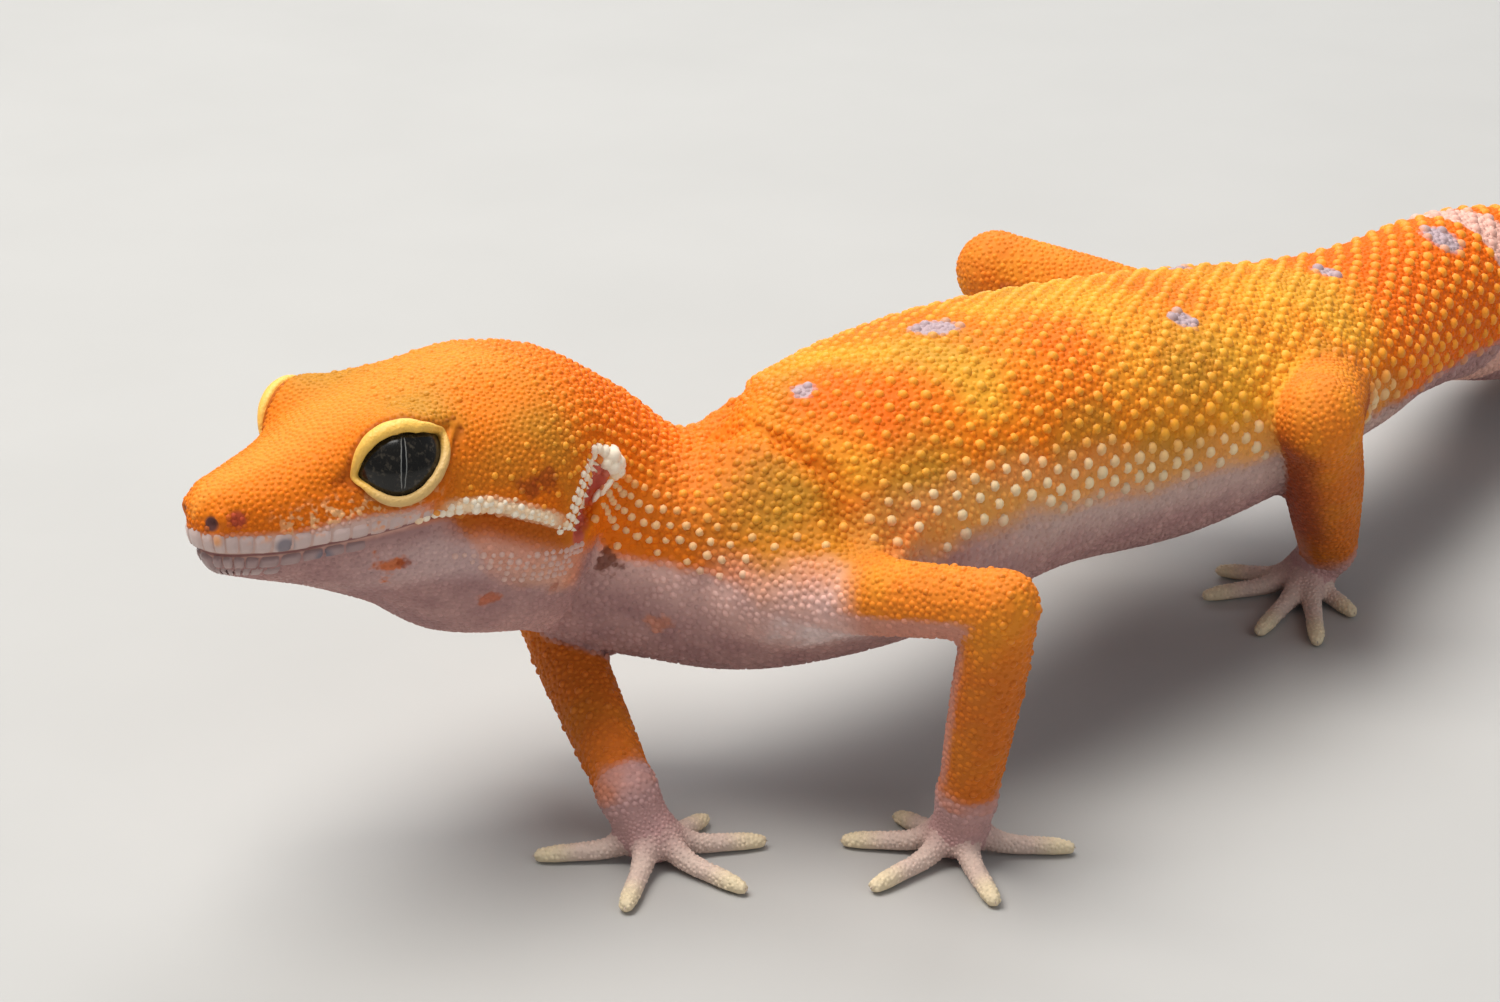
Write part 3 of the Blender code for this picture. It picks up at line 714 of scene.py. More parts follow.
def mark_places(data):
    """Body place: along, left, above (mm). Leg place: how much leg, down it, how far inside."""
    points = mesh_points(data)
    normal = vectors(data.vertex_normals)
    s, aside, above = body.locate(points)
    outside = np.hypot(aside, above) - body.radius(s, np.arctan2(aside, above))
    best, reach, inner, start = (np.full(len(points), v) for v in (1e3, 0.0, 0.0, 0.0))
    for key, leg in legs.items():
        for chain in (*leg.values(), *toes[key]):
            low, high = chain.points.min(0) - 5.0, chain.points.max(0) + 5.0
            some = np.nonzero(((points > low) & (points < high)).all(1))[0]
            gap, down = chain.measure(points[some])
            closer = gap < best[some]
            some = some[closer]
            best[some], reach[some] = gap[closer], down[closer]
            inner[some] = normal[some] @ unit(np.array(INNER_SIDE[key]))
            start[some] = 0.12 if key.endswith("fore") else -0.5
    inner = np.where(reach < 0.95, 0.9 - 0.5 * np.minimum(reach, 0.5) - 0.9 * normal[:, 2], inner)
    share = np.clip(0.5 + (outside - best) / 2.0, 0.0, 1.0)
    share = share * np.clip((reach - start) / 0.4, 0.0, 1.0)
    # Painted shade: a dark band in the crease round the outside of each eye's lids, strongest above, under
    # the brow.
    hollow = np.zeros(len(points))
    for eye in eyes.values():
        r, turn, arc = eye.polar(points)
        rim = eye.lid_rim(r, turn, arc, 4.5)
        hollow = np.maximum(hollow, rim * (0.75 + 0.25 * np.sin(turn)))
    keep(data, "hollow", hollow)
    keep(data, "place", np.stack([s, aside, above], 1))
    keep(data, "leg", np.stack([share, reach, inner], 1))


mark_places(skin_mesh)


# ---------------------------------------------------------------- the markings
class Socket:
    """A shader value that adds, multiplies and compares like a number."""

    def __init__(self, tree, out):
        self.tree, self.out = tree, out

    def node(self, kind, *inputs, output=0, **settings):
        node = self.tree.nodes.new(kind)
        for name, value in settings.items():
            setattr(node, name, value)
        for k, value in enumerate(inputs):
            if isinstance(value, Socket):
                self.tree.links.new(value.out, node.inputs[k])
            elif value is not None:
                node.inputs[k].default_value = value
        return Socket(self.tree, node.outputs[output])

    def math(self, operation, *others):
        return self.node("ShaderNodeMath", self, *others, operation=operation)

    def __add__(self, other):
        return self.math("ADD", other)

    def __radd__(self, other):
        return self.math("ADD", other)

    def __sub__(self, other):
        return self.math("SUBTRACT", other)

    def __rsub__(self, other):
        return (self * -1.0).math("ADD", other)

    def __mul__(self, other):
        return self.math("MULTIPLY", other)

    def __rmul__(self, other):
        return self.math("MULTIPLY", other)

    def __truediv__(self, other):
        return self.math("DIVIDE", other)

    def rise(self, low, high):
        """0 below `low`, 1 above `high`, eased between; falls when `low` is the greater."""
        if low > high:
            return 1.0 - self.rise(high, low)
        return self.node("ShaderNodeMapRange", self, low, high, 0.0, 1.0,
                         interpolation_type="SMOOTHSTEP")

    def split(self):
        node = self.tree.nodes.new("ShaderNodeSeparateXYZ")
        self.tree.links.new(self.out, node.inputs[0])
        return [Socket(self.tree, out) for out in node.outputs]

    def distance(self, place):
        return self.node("ShaderNodeVectorMath", self, place, output=1, operation="DISTANCE")

    def blend(self, other, share):
        """This colour mixed towards another by a share; the colours are inputs 6 and 7."""
        return self.node("ShaderNodeMix", share, *[None] * 5, self, other, output=2,
                         data_type="RGBA")

    def scaled(self, amount):
        """This colour made darker or lighter; the amount is input 3."""
        return self.node("ShaderNodeVectorMath", self, None, None, amount, operation="SCALE")


class Paint:
    """A new material and the places its markings read."""

    def __init__(self, name):
        self.material = bpy.data.materials.new(name)
        self.material.use_nodes = True
        self.tree = self.material.node_tree
        self.shader = self.tree.nodes["Principled BSDF"]
        self.root = Socket(self.tree, None)

    def attribute(self, name, output=1):
        return self.root.node("ShaderNodeAttribute", output=output, attribute_name=name)

    def place(self):
        return self.root.node("ShaderNodeTexCoord", output=3)

    def noise(self, size, detail=2.0):
        """Soft noise between 0 and 1 with blots of about `size` metres."""
        return self.root.node("ShaderNodeTexNoise", self.place(), None, 1.0 / size, detail, 0.55)

    def flat(self, values):
        """A plain colour as a socket."""
        return self.root.node("ShaderNodeCombineXYZ", *values[:3])

    def finish(self, colour, roughness, specular=0.4, coat=0.0, bump=None, depth=0.0001):
        self.tree.links.new(colour.out, self.shader.inputs["Base Color"])
        if isinstance(roughness, Socket):
            self.tree.links.new(roughness.out, self.shader.inputs["Roughness"])
        else:
            self.shader.inputs["Roughness"].default_value = roughness
        self.shader.inputs["Specular IOR Level"].default_value = specular
        self.shader.inputs["Coat Weight"].default_value = coat
        self.shader.inputs["Coat Roughness"].default_value = 0.03
        if bump:
            node = self.tree.nodes.new("ShaderNodeBump")
            node.inputs["Distance"].default_value = depth
            self.tree.links.new(bump.out, node.inputs["Height"])
            self.tree.links.new(node.outputs[0], self.shader.inputs["Normal"])
        return self.material


def colour(red, green, blue):
    """Light-linear colour from its everyday 0 to 255 form."""
    values = [v / 255 for v in (red, green, blue)]
    return (*(v / 12.92 if v < 0.04045 else ((v + 0.055) / 1.055) ** 2.4 for v in values), 1.0)


ORANGE = colour(236, 118, 14)
DEEP_ORANGE = colour(230, 102, 12)
YELLOW = colour(232, 160, 44)
OLIVE = colour(182, 134, 42)
TAN = colour(206, 122, 40)
CREAM = colour(236, 212, 168)
PINK = colour(182, 142, 136)
MAUVE = colour(166, 126, 123)
LAVENDER = colour(178, 156, 160)
GREY = colour(120, 112, 122)
RUST = colour(150, 62, 22)

# Spots: distance along, angle from the ridge towards the left, radius (mm), colour, strength.
SPOTS = (
    (12.9, 38, 2.6, OLIVE, 0.8), (12.9, -38, 2.6, OLIVE, 0.8), (18.6, 70, 2.0, OLIVE, 0.3),
    (18.6, -66, 2.0, OLIVE, 0.3), (21.3, 66, 1.6, OLIVE, 0.4), (39.3, 66, 3.0, OLIVE, 0.9),
    (46.6, 65, 2.3, OLIVE, 0.8), (41.6, -68, 3.4, OLIVE, 0.8), (42.8, 10, 3.4, OLIVE, 0.75),
    (52.5, 15, 3.6, OLIVE, 0.6), (72.0, 51, 3.0, OLIVE, 0.5), (66.0, -30, 4.0, OLIVE, 0.6),
    (82.0, -48, 3.6, OLIVE, 0.6), (91.0, 20, 3.4, OLIVE, 0.45),
    (35.2, 62, 4.2, TAN, 0.65), (35.2, -62, 4.2, TAN, 0.65),
    (45.3, 27, 4.0, DEEP_ORANGE, 0.9), (27.5, 40, 5.5, DEEP_ORANGE, 0.45),
    (27.5, -40, 5.5, DEEP_ORANGE, 0.45), (61.5, 33, 4.5, DEEP_ORANGE, 0.8),
    (58.0, -40, 5.0, DEEP_ORANGE, 0.7), (76.0, 4, 5.0, DEEP_ORANGE, 0.6),
    (100.6, 45, 6.0, DEEP_ORANGE, 0.7), (100.6, -45, 6.0, DEEP_ORANGE, 0.7),
    (43.2, 13.5, 0.75, LAVENDER, 1.0), (54.9, 2.5, 1.4, LAVENDER, 1.0),
    (73.4, 37, 1.0, LAVENDER, 1.0), (96.6, 13, 1.1, LAVENDER, 1.0),
    (113.6, 17.5, 1.8, LAVENDER, 1.0), (63.0, -42, 1.0, LAVENDER, 1.0),
    (85.0, -28, 1.2, LAVENDER, 1.0), (48.5, -50, 0.9, LAVENDER, 1.0),
)


# Small marks of the face and throat: along, aside, above, radius (mm), colour, strength.
FACE_SPOTS = (
    (10.2, 5.9, -3.7, 0.95, colour(206, 104, 40), 0.85), (11.2, 6.3, -3.6, 0.5, RUST, 0.7),
    (16.5, 7.3, -6.7, 0.8, colour(190, 96, 50), 0.7), (21.0, 8.0, -6.4, 0.5, RUST, 0.45),
    (31.2, 6.9, -4.0, 0.9, colour(110, 52, 26), 0.8), (18.4, 9.3, 0.7, 0.7, RUST, 0.7),
    (19.5, 9.5, 1.1, 0.8, RUST, 0.7), (36.2, 5.7, -6.6, 0.8, colour(212, 120, 60), 0.4),
    (29.5, 7.0, -6.0, 0.8, colour(206, 120, 70), 0.5),
)


def add_spots(back, body_place, drift, spots):
    """Blotches round given places: soft ones of the ground colour, crisp lavender ones."""
    for at, angle, size, tint, strength in spots:
        radius = float(body.radius(np.array(at), math.radians(angle)))
        middle = (at, radius * math.sin(math.radians(angle)),
                  radius * math.cos(math.radians(angle)))
        reach = body_place.distance(middle) + (drift - 0.5) * (size * 1.1)
        edge = 0.25 if tint == LAVENDER else 0.75
        back = back.blend(tint, reach.rise(size * (1 + edge), size * (1 - edge)) * strength)
    return back


def long_colour(paint, body_place, s, turn, drift, knobs):
    """Colours of the long body by distance along it and angle from the ridge (degrees)."""
    patch = paint.noise(0.009, 1.0)
    fine = paint.noise(0.0022, 2.0)
    trunk = s.rise(33, 42) * s.rise(112, 96)
    back = paint.flat(ORANGE).blend(YELLOW, patch.rise(0.42, 0.62) * trunk)
    back = back.blend(YELLOW, s.rise(56, 66) * s.rise(92, 82) * 0.55)
    back = back.blend(OLIVE, patch.rise(0.50, 0.34) * trunk * 0.6)
    back = back.blend(DEEP_ORANGE, s.rise(92, 104) * 0.75)
    # The head is paler along its top and darker down its sides: painted light from above and painted shade
    # on the sides.
    crown = paint.flat(colour(228, 124, 24)).blend(colour(236, 150, 56), turn.rise(46, 10) * 0.7)
    crown = crown.blend(colour(212, 100, 14), turn.rise(50, 84) * 0.6)
    crown = crown.blend(OLIVE, (paint.noise(0.006, 1.0) + s * 0.012).rise(0.66, 0.9) * 0.45)
    back = back.blend(crown, s.rise(27, 20) * 0.9)
    back = add_spots(back, body_place, drift, [spot for spot in SPOTS if spot[3] != LAVENDER])
    flank_line = drift * 14.0 - 7.0 + s.rise(68, 46) * 18.0
    flank = (turn + flank_line).rise(80, 94) * s.rise(42, 47) * s.rise(100, 90)
    if knobs:
        back = back.blend(colour(250, 178, 60), (s.rise(40, 50) * 0.4 + 0.14)
                          + turn.rise(40, 80) * s.rise(52, 40) * 0.3)
        back = back.blend(CREAM, flank.math("MAXIMUM", (turn + flank_line).rise(92, 108)
                                            * s.rise(22, 28) * s.rise(50, 42) * 0.6) * 0.95)
    else:
        back = back.blend(colour(232, 164, 96), flank * 0.6)
    back = add_spots(back, body_place, drift, [spot for spot in SPOTS if spot[3] == LAVENDER])
    hem = drift * 14.0 - 7.0 + s.rise(66, 46) * 8.0 + s.rise(102, 112) * -38.0
    hem = hem + s.rise(74, 92) * -6.0
    neck_low = (turn + drift * 12.0 - 6.0 + s.rise(40, 32) * -13.0).rise(97, 107) * s.rise(22, 26)
    belly = paint.flat(PINK).blend(MAUVE, fine.rise(0.3, 0.7))
    belly = belly.blend(colour(238, 194, 182), s.rise(25, 32) * s.rise(48, 42)
                        * turn.rise(140, 112) * (0.55 + fine.rise(0.35, 0.65) * 0.4))
    belly = belly.blend(colour(226, 204, 200), s.rise(39.5, 41.5) * s.rise(46, 43.5)
                        * turn.rise(104, 108) * turn.rise(132, 120) * fine.rise(0.15, 0.5) * 0.9)
    belly = belly.blend(colour(212, 164, 156), s.rise(15, 20) * s.rise(34, 28)
                        * turn.rise(135, 160) * 0.6)
    back = back.blend(belly, neck_low)
    pale_edge = (turn + hem).rise(122, 102) * s.rise(46, 54) * s.rise(104, 96) * 0.6
    back = back.blend(belly.blend(colour(212, 186, 174), pale_edge),
                      (turn + hem).rise(92, 106) * s.rise(36, 42))
    return back, belly


def head_colour(paint, back, belly, s, aside, above, drift):
    """The head over the body's colours: lips, jaw, cheek fold, throat, nostrils and ears."""
    mouth = s.node("ShaderNodeMapRange", s, 5.0, 13.3, -1.9, -0.5)
    fold = s.node("ShaderNodeMapRange", s, 16.0, 21.0, 0.0, 2.0)
    below = mouth - fold - above + (drift - 0.5) * 0.3
    jaw_edge = s.rise(13.5, 16.5) * 3.8
    soft = s.rise(12.5, 16.0)
    jaw = below - jaw_edge + soft * (drift - 0.5) * 2.4
    jaw = jaw.rise(-0.1, 0.6) * (1.0 - soft) + jaw.rise(-0.9, 1.0) * soft
    head = back.blend(belly, jaw * s.rise(31, 27))
    pale = (below - 1.6).rise(-1.0, 0.6) * (below - 3.4).rise(1.6, 0.0)
    head = head.blend(colour(222, 192, 186), pale * s.rise(6, 13) * s.rise(26, 21) * 0.5)
    # The lower cheek under the fold is rust-brown: its own colour, darkened further as painted shade under
    # the overhanging fold.
    cheek = below.rise(-0.2, 0.15) * s.rise(12.6, 15.0) * below.rise(2.6, 0.5)
    head = head.blend(colour(172, 84, 26), cheek * s.rise(22.5, 20.0) * 0.7)
    lip = below.rise(-1.6, -0.9) * below.rise(0.6, 0.0) * s.rise(13.0, 11.0)
    head = head.blend(colour(206, 182, 174), lip * 0.85)
    mottle = below.rise(-3.2, -1.9) * below.rise(-1.0, -1.5) * s.rise(3, 5) * s.rise(14, 11)
    head = head.blend(colour(242, 204, 150), mottle * paint.noise(0.0005, 1.0).rise(0.48, 0.6) * 0.6)
    line = below.rise(-0.14, 0.0) * below.rise(0.26, 0.1) * s.rise(14.0, 12.5)
    head = head.blend(colour(126, 70, 70), line * 0.8)
    white = below.rise(-1.2, -0.7) * below.rise(0.2, -0.2) * s.rise(12.5, 14.5) * s.rise(21.5, 19.5)
    head = head.blend(colour(252, 226, 190), white * 0.9)
    mirrored = aside.math("ABSOLUTE")
    both = s.node("ShaderNodeCombineXYZ", s, mirrored, above)
    head = head.blend(colour(166, 62, 52), both.distance((1.7, 2.75, 0.45)).rise(0.75, 0.35) * 0.8)
    # Painted shade: a dark spot fills each nostril's pit.
    head = head.blend(colour(74, 58, 66), both.distance((0.45, 1.6, 0.12)).rise(0.62, 0.42) * 0.9)
    flat = s.node("ShaderNodeCombineXYZ", s, mirrored * 0.35, above)
    for at, across, height in ((25.6, 8.0, 0.5), (24.7, 8.6, -0.6), (23.8, 9.0, -1.8),
                               (22.9, 9.2, -2.9)):
        near = flat.distance((at, across * 0.35, height)).rise(1.25, 0.75)
        head = head.blend(colour(206, 104, 88), near * 0.95)
    speck = paint.noise(0.0011, 2.0)
    for at, across, height, size, tint, strength in FACE_SPOTS:
        near = both.distance((at, across, height)) + (speck - 0.5) * size * 3.2
        head = head.blend(tint, near.rise(size * 1.25, size * 0.55) * strength)
    # Painted shade darkens the crease round the lids.
    return head.blend(colour(128, 52, 14), paint.attribute("hollow", 2) * 0.8)


def markings(paint, knobs=False):
    """The whole animal's colours, from the places kept on its vertices; knobs are paler."""
    body_place = paint.attribute("place")
    s, aside, above = body_place.split()
    share, reach, inner = paint.attribute("leg").split()
    turn = aside.math("ABSOLUTE").math("ARCTAN2", above) * (180 / math.pi)
    drift = paint.noise(0.004, 2.0)
    back, belly = long_colour(paint, body_place, s, turn, drift, knobs)
    back = head_colour(paint, back, belly, s, aside, above, drift)
    band = s.rise(117.5, 119.5) * s.rise(125.5, 122.5)
    band = band + s.rise(136, 138.5) * s.rise(146, 143) + s.rise(156, 158) * s.rise(164, 162)
    band = band + s.rise(173, 174.5) * s.rise(180, 178)
    edge = (drift - 0.5) * 1.2 + band
    back = back.blend(colour(226, 176, 160), edge.rise(0.35, 0.75))
    leg = paint.flat(colour(226, 128, 36)).blend(YELLOW, drift.rise(0.45, 0.7) * 0.4)
    # Painted shade: forearms and shins are darkened to brown below the elbows and knees.
    leg = leg.blend(colour(182, 90, 32), reach.rise(0.9, 1.4) * 0.6)
    leg = leg.blend(colour(204, 146, 132), inner.rise(0.72, 0.95) * 0.85)
    # Painted shade: deep maroon on the inner side of the hind legs, above the feet.
    leg = leg.blend(colour(150, 64, 46), inner.rise(0.3, 0.75) * s.rise(70, 80)
                    * reach.rise(1.9, 1.6) * 0.75)
    paw = reach + (drift - 0.5) * 0.3
    leg = leg.blend(colour(186, 146, 142), paw.rise(1.88, 2.06))
    leg = leg.blend(colour(216, 192, 178), reach.rise(2.95, 3.5))
    leg = leg.blend(colour(228, 210, 176), reach.rise(3.6, 3.95))
    return back.blend(leg, share.rise(0.35, 0.8))


skin_paint = Paint("gecko_skin")
skin_bump = skin_paint.noise(0.0004, 1.0)
skin = add_object("skin", skin_mesh, skin_paint.finish(
    markings(skin_paint), 0.6, 0.15, bump=skin_bump, depth=0.00006))
FLESH = ["head", "lower_jaw", "neck", "trunk_front", "trunk_rear", "hips", "tail_base",
         "tail_middle", "tail_end"]
FLESH += [part + "_" + side for side in ("left", "right")
          for part in ("upper_arm", "forearm", "hand", "thigh", "shin", "foot")]
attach(skin, "root")
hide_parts(*FLESH)

# ================================================================ the eyes
# A gecko's eye is a glossy ball, held in its socket by the lids. Each is a whole ball here, with
# a finely veined charcoal iris and an upright slit pupil where it looks out.
def ball_mesh(name, eye, radius, around=64, rows=40):
    """Ball whose pole looks out of the eye; crowded rows near that pole."""
    turn = np.arange(around) / around * 2 * math.pi
    angle = math.pi * np.linspace(0.0, 1.0, rows + 1)[1:-1] ** 1.25
    points = [eye.centre + eye.out * radius]
    for a in angle:
        points += list(eye.spot(turn, np.full(around, a), np.full(around, radius)))
    points.append(eye.centre - eye.out * radius)
    faces = [(0, 1 + k, 1 + (k + 1) % around) for k in range(around)]
    for row in range(rows - 2):
        low, high = 1 + row * around, 1 + (row + 1) * around
        faces += [(low + k, high + k, high + (k + 1) % around, low + (k + 1) % around)
                  for k in range(around)]
    last, low = len(points) - 1, 1 + (rows - 2) * around
    faces += [(last, low + (k + 1) % around, low + k) for k in range(around)]
    return closed_mesh(name, points, faces)


def closed_mesh(name, points, faces):
    """Mesh from millimetre points, its normals turned outward."""
    data = bpy.data.meshes.new(name)
    data.from_pydata([tuple(p * MM) for p in np.array(points)], [], faces)
    mesh = bmesh.new()
    mesh.from_mesh(data)
    bmesh.ops.recalc_face_normals(mesh, faces=mesh.faces)
    mesh.to_mesh(data)
    mesh.free()
    return data


def eye_paint():
    """Iris and pupil by place across the front of the ball (mm from its middle)."""
    paint = Paint("gecko_eye")
    x, y, _ = paint.attribute("iris").split()
    vein = paint.noise(0.00035, 4.0)
    waver = (paint.noise(0.0005, 1.0) - 0.5) * 0.08
    tone = paint.flat(colour(22, 20, 17)).blend(colour(74, 68, 58), vein.rise(0.50, 0.72) * 0.8)
    y = y + 0.1
    x = x - y * 0.08
    slit = (x + waver).math("ABSOLUTE") + (y / 1.9) * (y / 1.9) * 0.12
    ends = y.math("ABSOLUTE")
    rim = slit.rise(0.21, 0.17) * slit.rise(0.11, 0.14) * ends.rise(1.6, 1.4)
    tone = tone.blend(colour(158, 158, 154), rim * 0.6)
    tone = tone.blend(colour(10, 10, 11), slit.rise(0.15, 0.11) * ends.rise(1.55, 1.35))
    return paint.finish(tone, 0.2, 0.28, 0.2)


eye_material = eye_paint()
for word, eye in eyes.items():
    data = ball_mesh("eye_ball_" + word, eye, EYE_RADIUS)
    off = mesh_points(data) - eye.centre
    level = unit(np.cross(np.array((0, 0, 1.0)), eye.out))
    keep(data, "iris", np.stack([off @ level, off @ np.cross(eye.out, level), off @ eye.out], 1))
    ball = add_object("eye_ball_" + word, data, eye_material)
    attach(ball, "root")
    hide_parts("eye_" + word)


# ================================================================ the eyelids
# Movable lids edge each opening: bright yellow rolls of soft skin, thick above and fine below,
# pressed to the ball. The two lids of an eye are one closed ring.
def ring_faces(rings, sides):
    """Four-sided faces between each ring of points and the next."""
    return [(j * sides + k, j * sides + (k + 1) % sides, (j + 1) * sides + (k + 1) % sides,
             (j + 1) * sides + k) for j in range(rings - 1) for k in range(sides)]


def lid_mesh(eye, around=120, sides=14):
    turn = np.arange(around) / around * 2 * math.pi
    edge = eye.edge_at(turn)
    edge = (np.roll(edge, 1) + 2 * edge + np.roll(edge, -1)) / 4
    thick = eye.lid_half(turn)
    points, angle = [], edge + thick / 3.25
    for k in range(around):
        for j in range(sides):
            roll = j / sides * 2 * math.pi
            across, lift = thick[k] * math.cos(roll), (0.14 + 0.45 * thick[k]) * math.sin(roll)
            r = EDGE_RADIUS + thick[k] * 0.62 + lift
            points.append(eye.spot(turn[k], angle[k] + across / 3.2, r))
    faces = [tuple(k % len(points) for k in face) for face in ring_faces(around + 1, sides)]
    return closed_mesh("lid", points, faces)


lid_paint = Paint("gecko_lid")
lid_tone = lid_paint.flat(colour(250, 196, 90)).blend(
    colour(224, 184, 116), lid_paint.attribute("low", 2).rise(0.2, -0.6))
lid_material = lid_paint.finish(lid_tone, 0.45, 0.4, bump=lid_paint.noise(0.0002, 1.0),
                                depth=0.00008)
for word, eye in eyes.items():
    data = lid_mesh(eye)
    keep(data, "low", np.sin(eye.polar(mesh_points(data))[1]))
    lid = add_object("lid_" + word, data, lid_material)
    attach(lid, "root")

# ================================================================ the fine scales
# The hide is paved with tiny soft granules, finest on the face and feet. Each is a low
# six-sided dome sunk a little into the skin.
HEAD, TRUNK_FRONT, TRUNK_REAR, TAIL, LEFT_LEGS, RIGHT_LEGS, PAWS = range(7)
ZONE_PARTINGS = (27.5, 68.0, 106.0)
GRANULE_RINGS = ((1.0, -0.16), (0.54, 0.35))
GRANULE_SEED = 7


def grain_of(data):
    """A shape for the trees to repeat; it never joins the scene itself."""
    data.shade_smooth()
    return bpy.data.objects.new(data.name, data)


def dome(name, rings, sides, tip=None):
    """A round bump of rings (radius, height), open below; flat on top unless a tip is given."""
    turn = np.arange(sides) / sides * 2 * math.pi
    points = [(r * math.cos(t), r * math.sin(t), z) for r, z in rings for t in turn]
    faces = ring_faces(len(rings), sides)
    last = (len(rings) - 1) * sides
    if tip is None:
        faces.append(tuple(range(last, last + sides)))
    else:
        points.append((0.0, 0.0, tip))
        faces += [(last + k, last + (k + 1) % sides, last + sides) for k in range(sides)]
    data = bpy.data.meshes.new(name)
    data.from_pydata(points, [], faces)
    return grain_of(data)


def corner_vertices(data):
    """The vertex of every face corner of a mesh."""
    corner = np.empty(len(data.loops), int)
    data.loops.foreach_get("vertex_index", corner)
    return corner


def zone_faces():
    """Which coat piece each skin face belongs to; -1 where the skin is bare."""
    points = mesh_points(skin_mesh)
    s, _, above = body.locate(points)
    below = along_table(MOUTH_LINE, s) - above
    plates = (s < 13.3) & (above < along_table(LIP_TOP, s) - 0.12) & (below < 0.45)
    bare = plates | (points[:, 2] < 0.35)
    for side, word in SIDES:
        r, turn, arc = eyes[word].polar(points)
        bare |= (arc < 2 * eyes[word].lid_half(turn) + 0.05) & (r < 4.5)
        top, foot = (body.point(a, side * b, c) for a, b, c in (EAR_TOP, EAR_FOOT))
        share = np.clip((points - foot) @ (top - foot) / ((top - foot) @ (top - foot)), 0, 1)
        off = np.linalg.norm(points - foot - share[:, None] * (top - foot), axis=1)
        bare |= off < 1.1
        bare |= np.linalg.norm(points - body.point(0.55, side * 1.75, 0.15), axis=1) < 0.6
    share, reach, _ = vectors(skin_mesh.attributes["leg"].data).T
    zone = np.select([s < parting for parting in ZONE_PARTINGS],
                     [HEAD, TRUNK_FRONT, TRUNK_REAR], TAIL)
    on_leg = (share > 0.5) & ((s > 33) | (reach > 0.6))
    zone = np.where(on_leg, np.where(points[:, 0] > locate_middle(points), LEFT_LEGS,
                                     RIGHT_LEGS), zone)
    zone = np.where((share > 0.5) & (reach > 2.15), PAWS, zone)
    zone[bare] = -1
    corner = corner_vertices(skin_mesh)
    start = np.empty(len(skin_mesh.polygons), int)
    skin_mesh.polygons.foreach_get("loop_start", start)
    lowest = np.minimum.reduceat(zone[corner], start)
    return np.where(lowest < 0, -1, zone[corner[start]])


def locate_middle(points):
    """The left-right position of the spine, or of the paws' parting, beside each point."""
    under = points[:, 2] < 8.0
    return np.where(under & (points[:, 1] < -40), 9.0, np.where(under, 0.0, 1.5))


skin_mesh.attributes.new("zone", "INT", "FACE").data.foreach_set(
    "value", zone_faces().astype(np.int32))


def node_group(name, numbers):
    """A geometry tree with named number inputs after its geometry."""
    tree = bpy.data.node_groups.new(name, "GeometryNodeTree")
    tree.interface.new_socket("Geometry", in_out="INPUT", socket_type="NodeSocketGeometry")
    tree.interface.new_socket("Grain", in_out="INPUT", socket_type="NodeSocketObject")
    tree.interface.new_socket("Material", in_out="INPUT", socket_type="NodeSocketMaterial")
    for label, kind in numbers.items():
        tree.interface.new_socket(label, in_out="INPUT", socket_type=kind)
    tree.interface.new_socket("Geometry", in_out="OUTPUT", socket_type="NodeSocketGeometry")
    return tree


def tree_node(tree, kind, links=None, settings=None, values=None):
    """One node: its settings first, then values and links by input name or number."""
    node = tree.nodes.new(kind)
    for name, value in (settings or {}).items():
        setattr(node, name, value)
    for name, value in (values or {}).items():
        node.inputs[name].default_value = value
    for name, out in (links or {}).items():
        tree.links.new(out, node.inputs[name])
    return node


def granule_tree():
    tree = node_group("granules", {"Zone": "NodeSocketInt", "Spacing": "NodeSocketFloat",
                                   "Size": "NodeSocketFloat", "Seed": "NodeSocketInt"})
    given = tree.nodes.new("NodeGroupInput").outputs
    zone = tree_node(tree, "GeometryNodeInputNamedAttribute", settings={"data_type": "INT"},
                     values={"Name": "zone"})
    chosen = tree_node(tree, "FunctionNodeCompare",
                       {2: zone.outputs["Attribute"], 3: given["Zone"]},
                       {"data_type": "INT", "operation": "EQUAL"})
    square = tree_node(tree, "ShaderNodeMath", {0: given["Spacing"], 1: given["Spacing"]},
                       {"operation": "MULTIPLY"})
    crowd = tree_node(tree, "ShaderNodeMath", {1: square.outputs[0]}, {"operation": "DIVIDE"},
                      {0: 5.0})
    scatter = tree_node(tree, "GeometryNodeDistributePointsOnFaces",
                        {"Mesh": given["Geometry"], "Selection": chosen.outputs["Result"],
                         "Distance Min": given["Spacing"], "Density Max": crowd.outputs[0],
                         "Seed": given["Seed"]}, {"distribute_method": "POISSON"})
    spin = tree_node(tree, "FunctionNodeRandomValue", {"Seed": given["Seed"]},
                     {"data_type": "FLOAT"}, {"Min": 0.0, "Max": 6.283})
    turn = tree_node(tree, "FunctionNodeAxisAngleToRotation", {"Angle": spin.outputs[1]},
                     values={"Axis": (0.0, 0.0, 1.0)})
    lie = tree_node(tree, "FunctionNodeRotateRotation",
                    {0: scatter.outputs["Rotation"], 1: turn.outputs[0]},
                    {"rotation_space": "LOCAL"})
    vary = tree_node(tree, "FunctionNodeRandomValue", {"Seed": given["Seed"]},
                     {"data_type": "FLOAT"}, {"Min": 0.88, "Max": 1.14})
    size = tree_node(tree, "ShaderNodeMath", {0: given["Size"], 1: vary.outputs[1]},
                     {"operation": "MULTIPLY"})
    return finish_grains(tree, given, scatter.outputs["Points"], lie.outputs[0],
                         size.outputs[0])


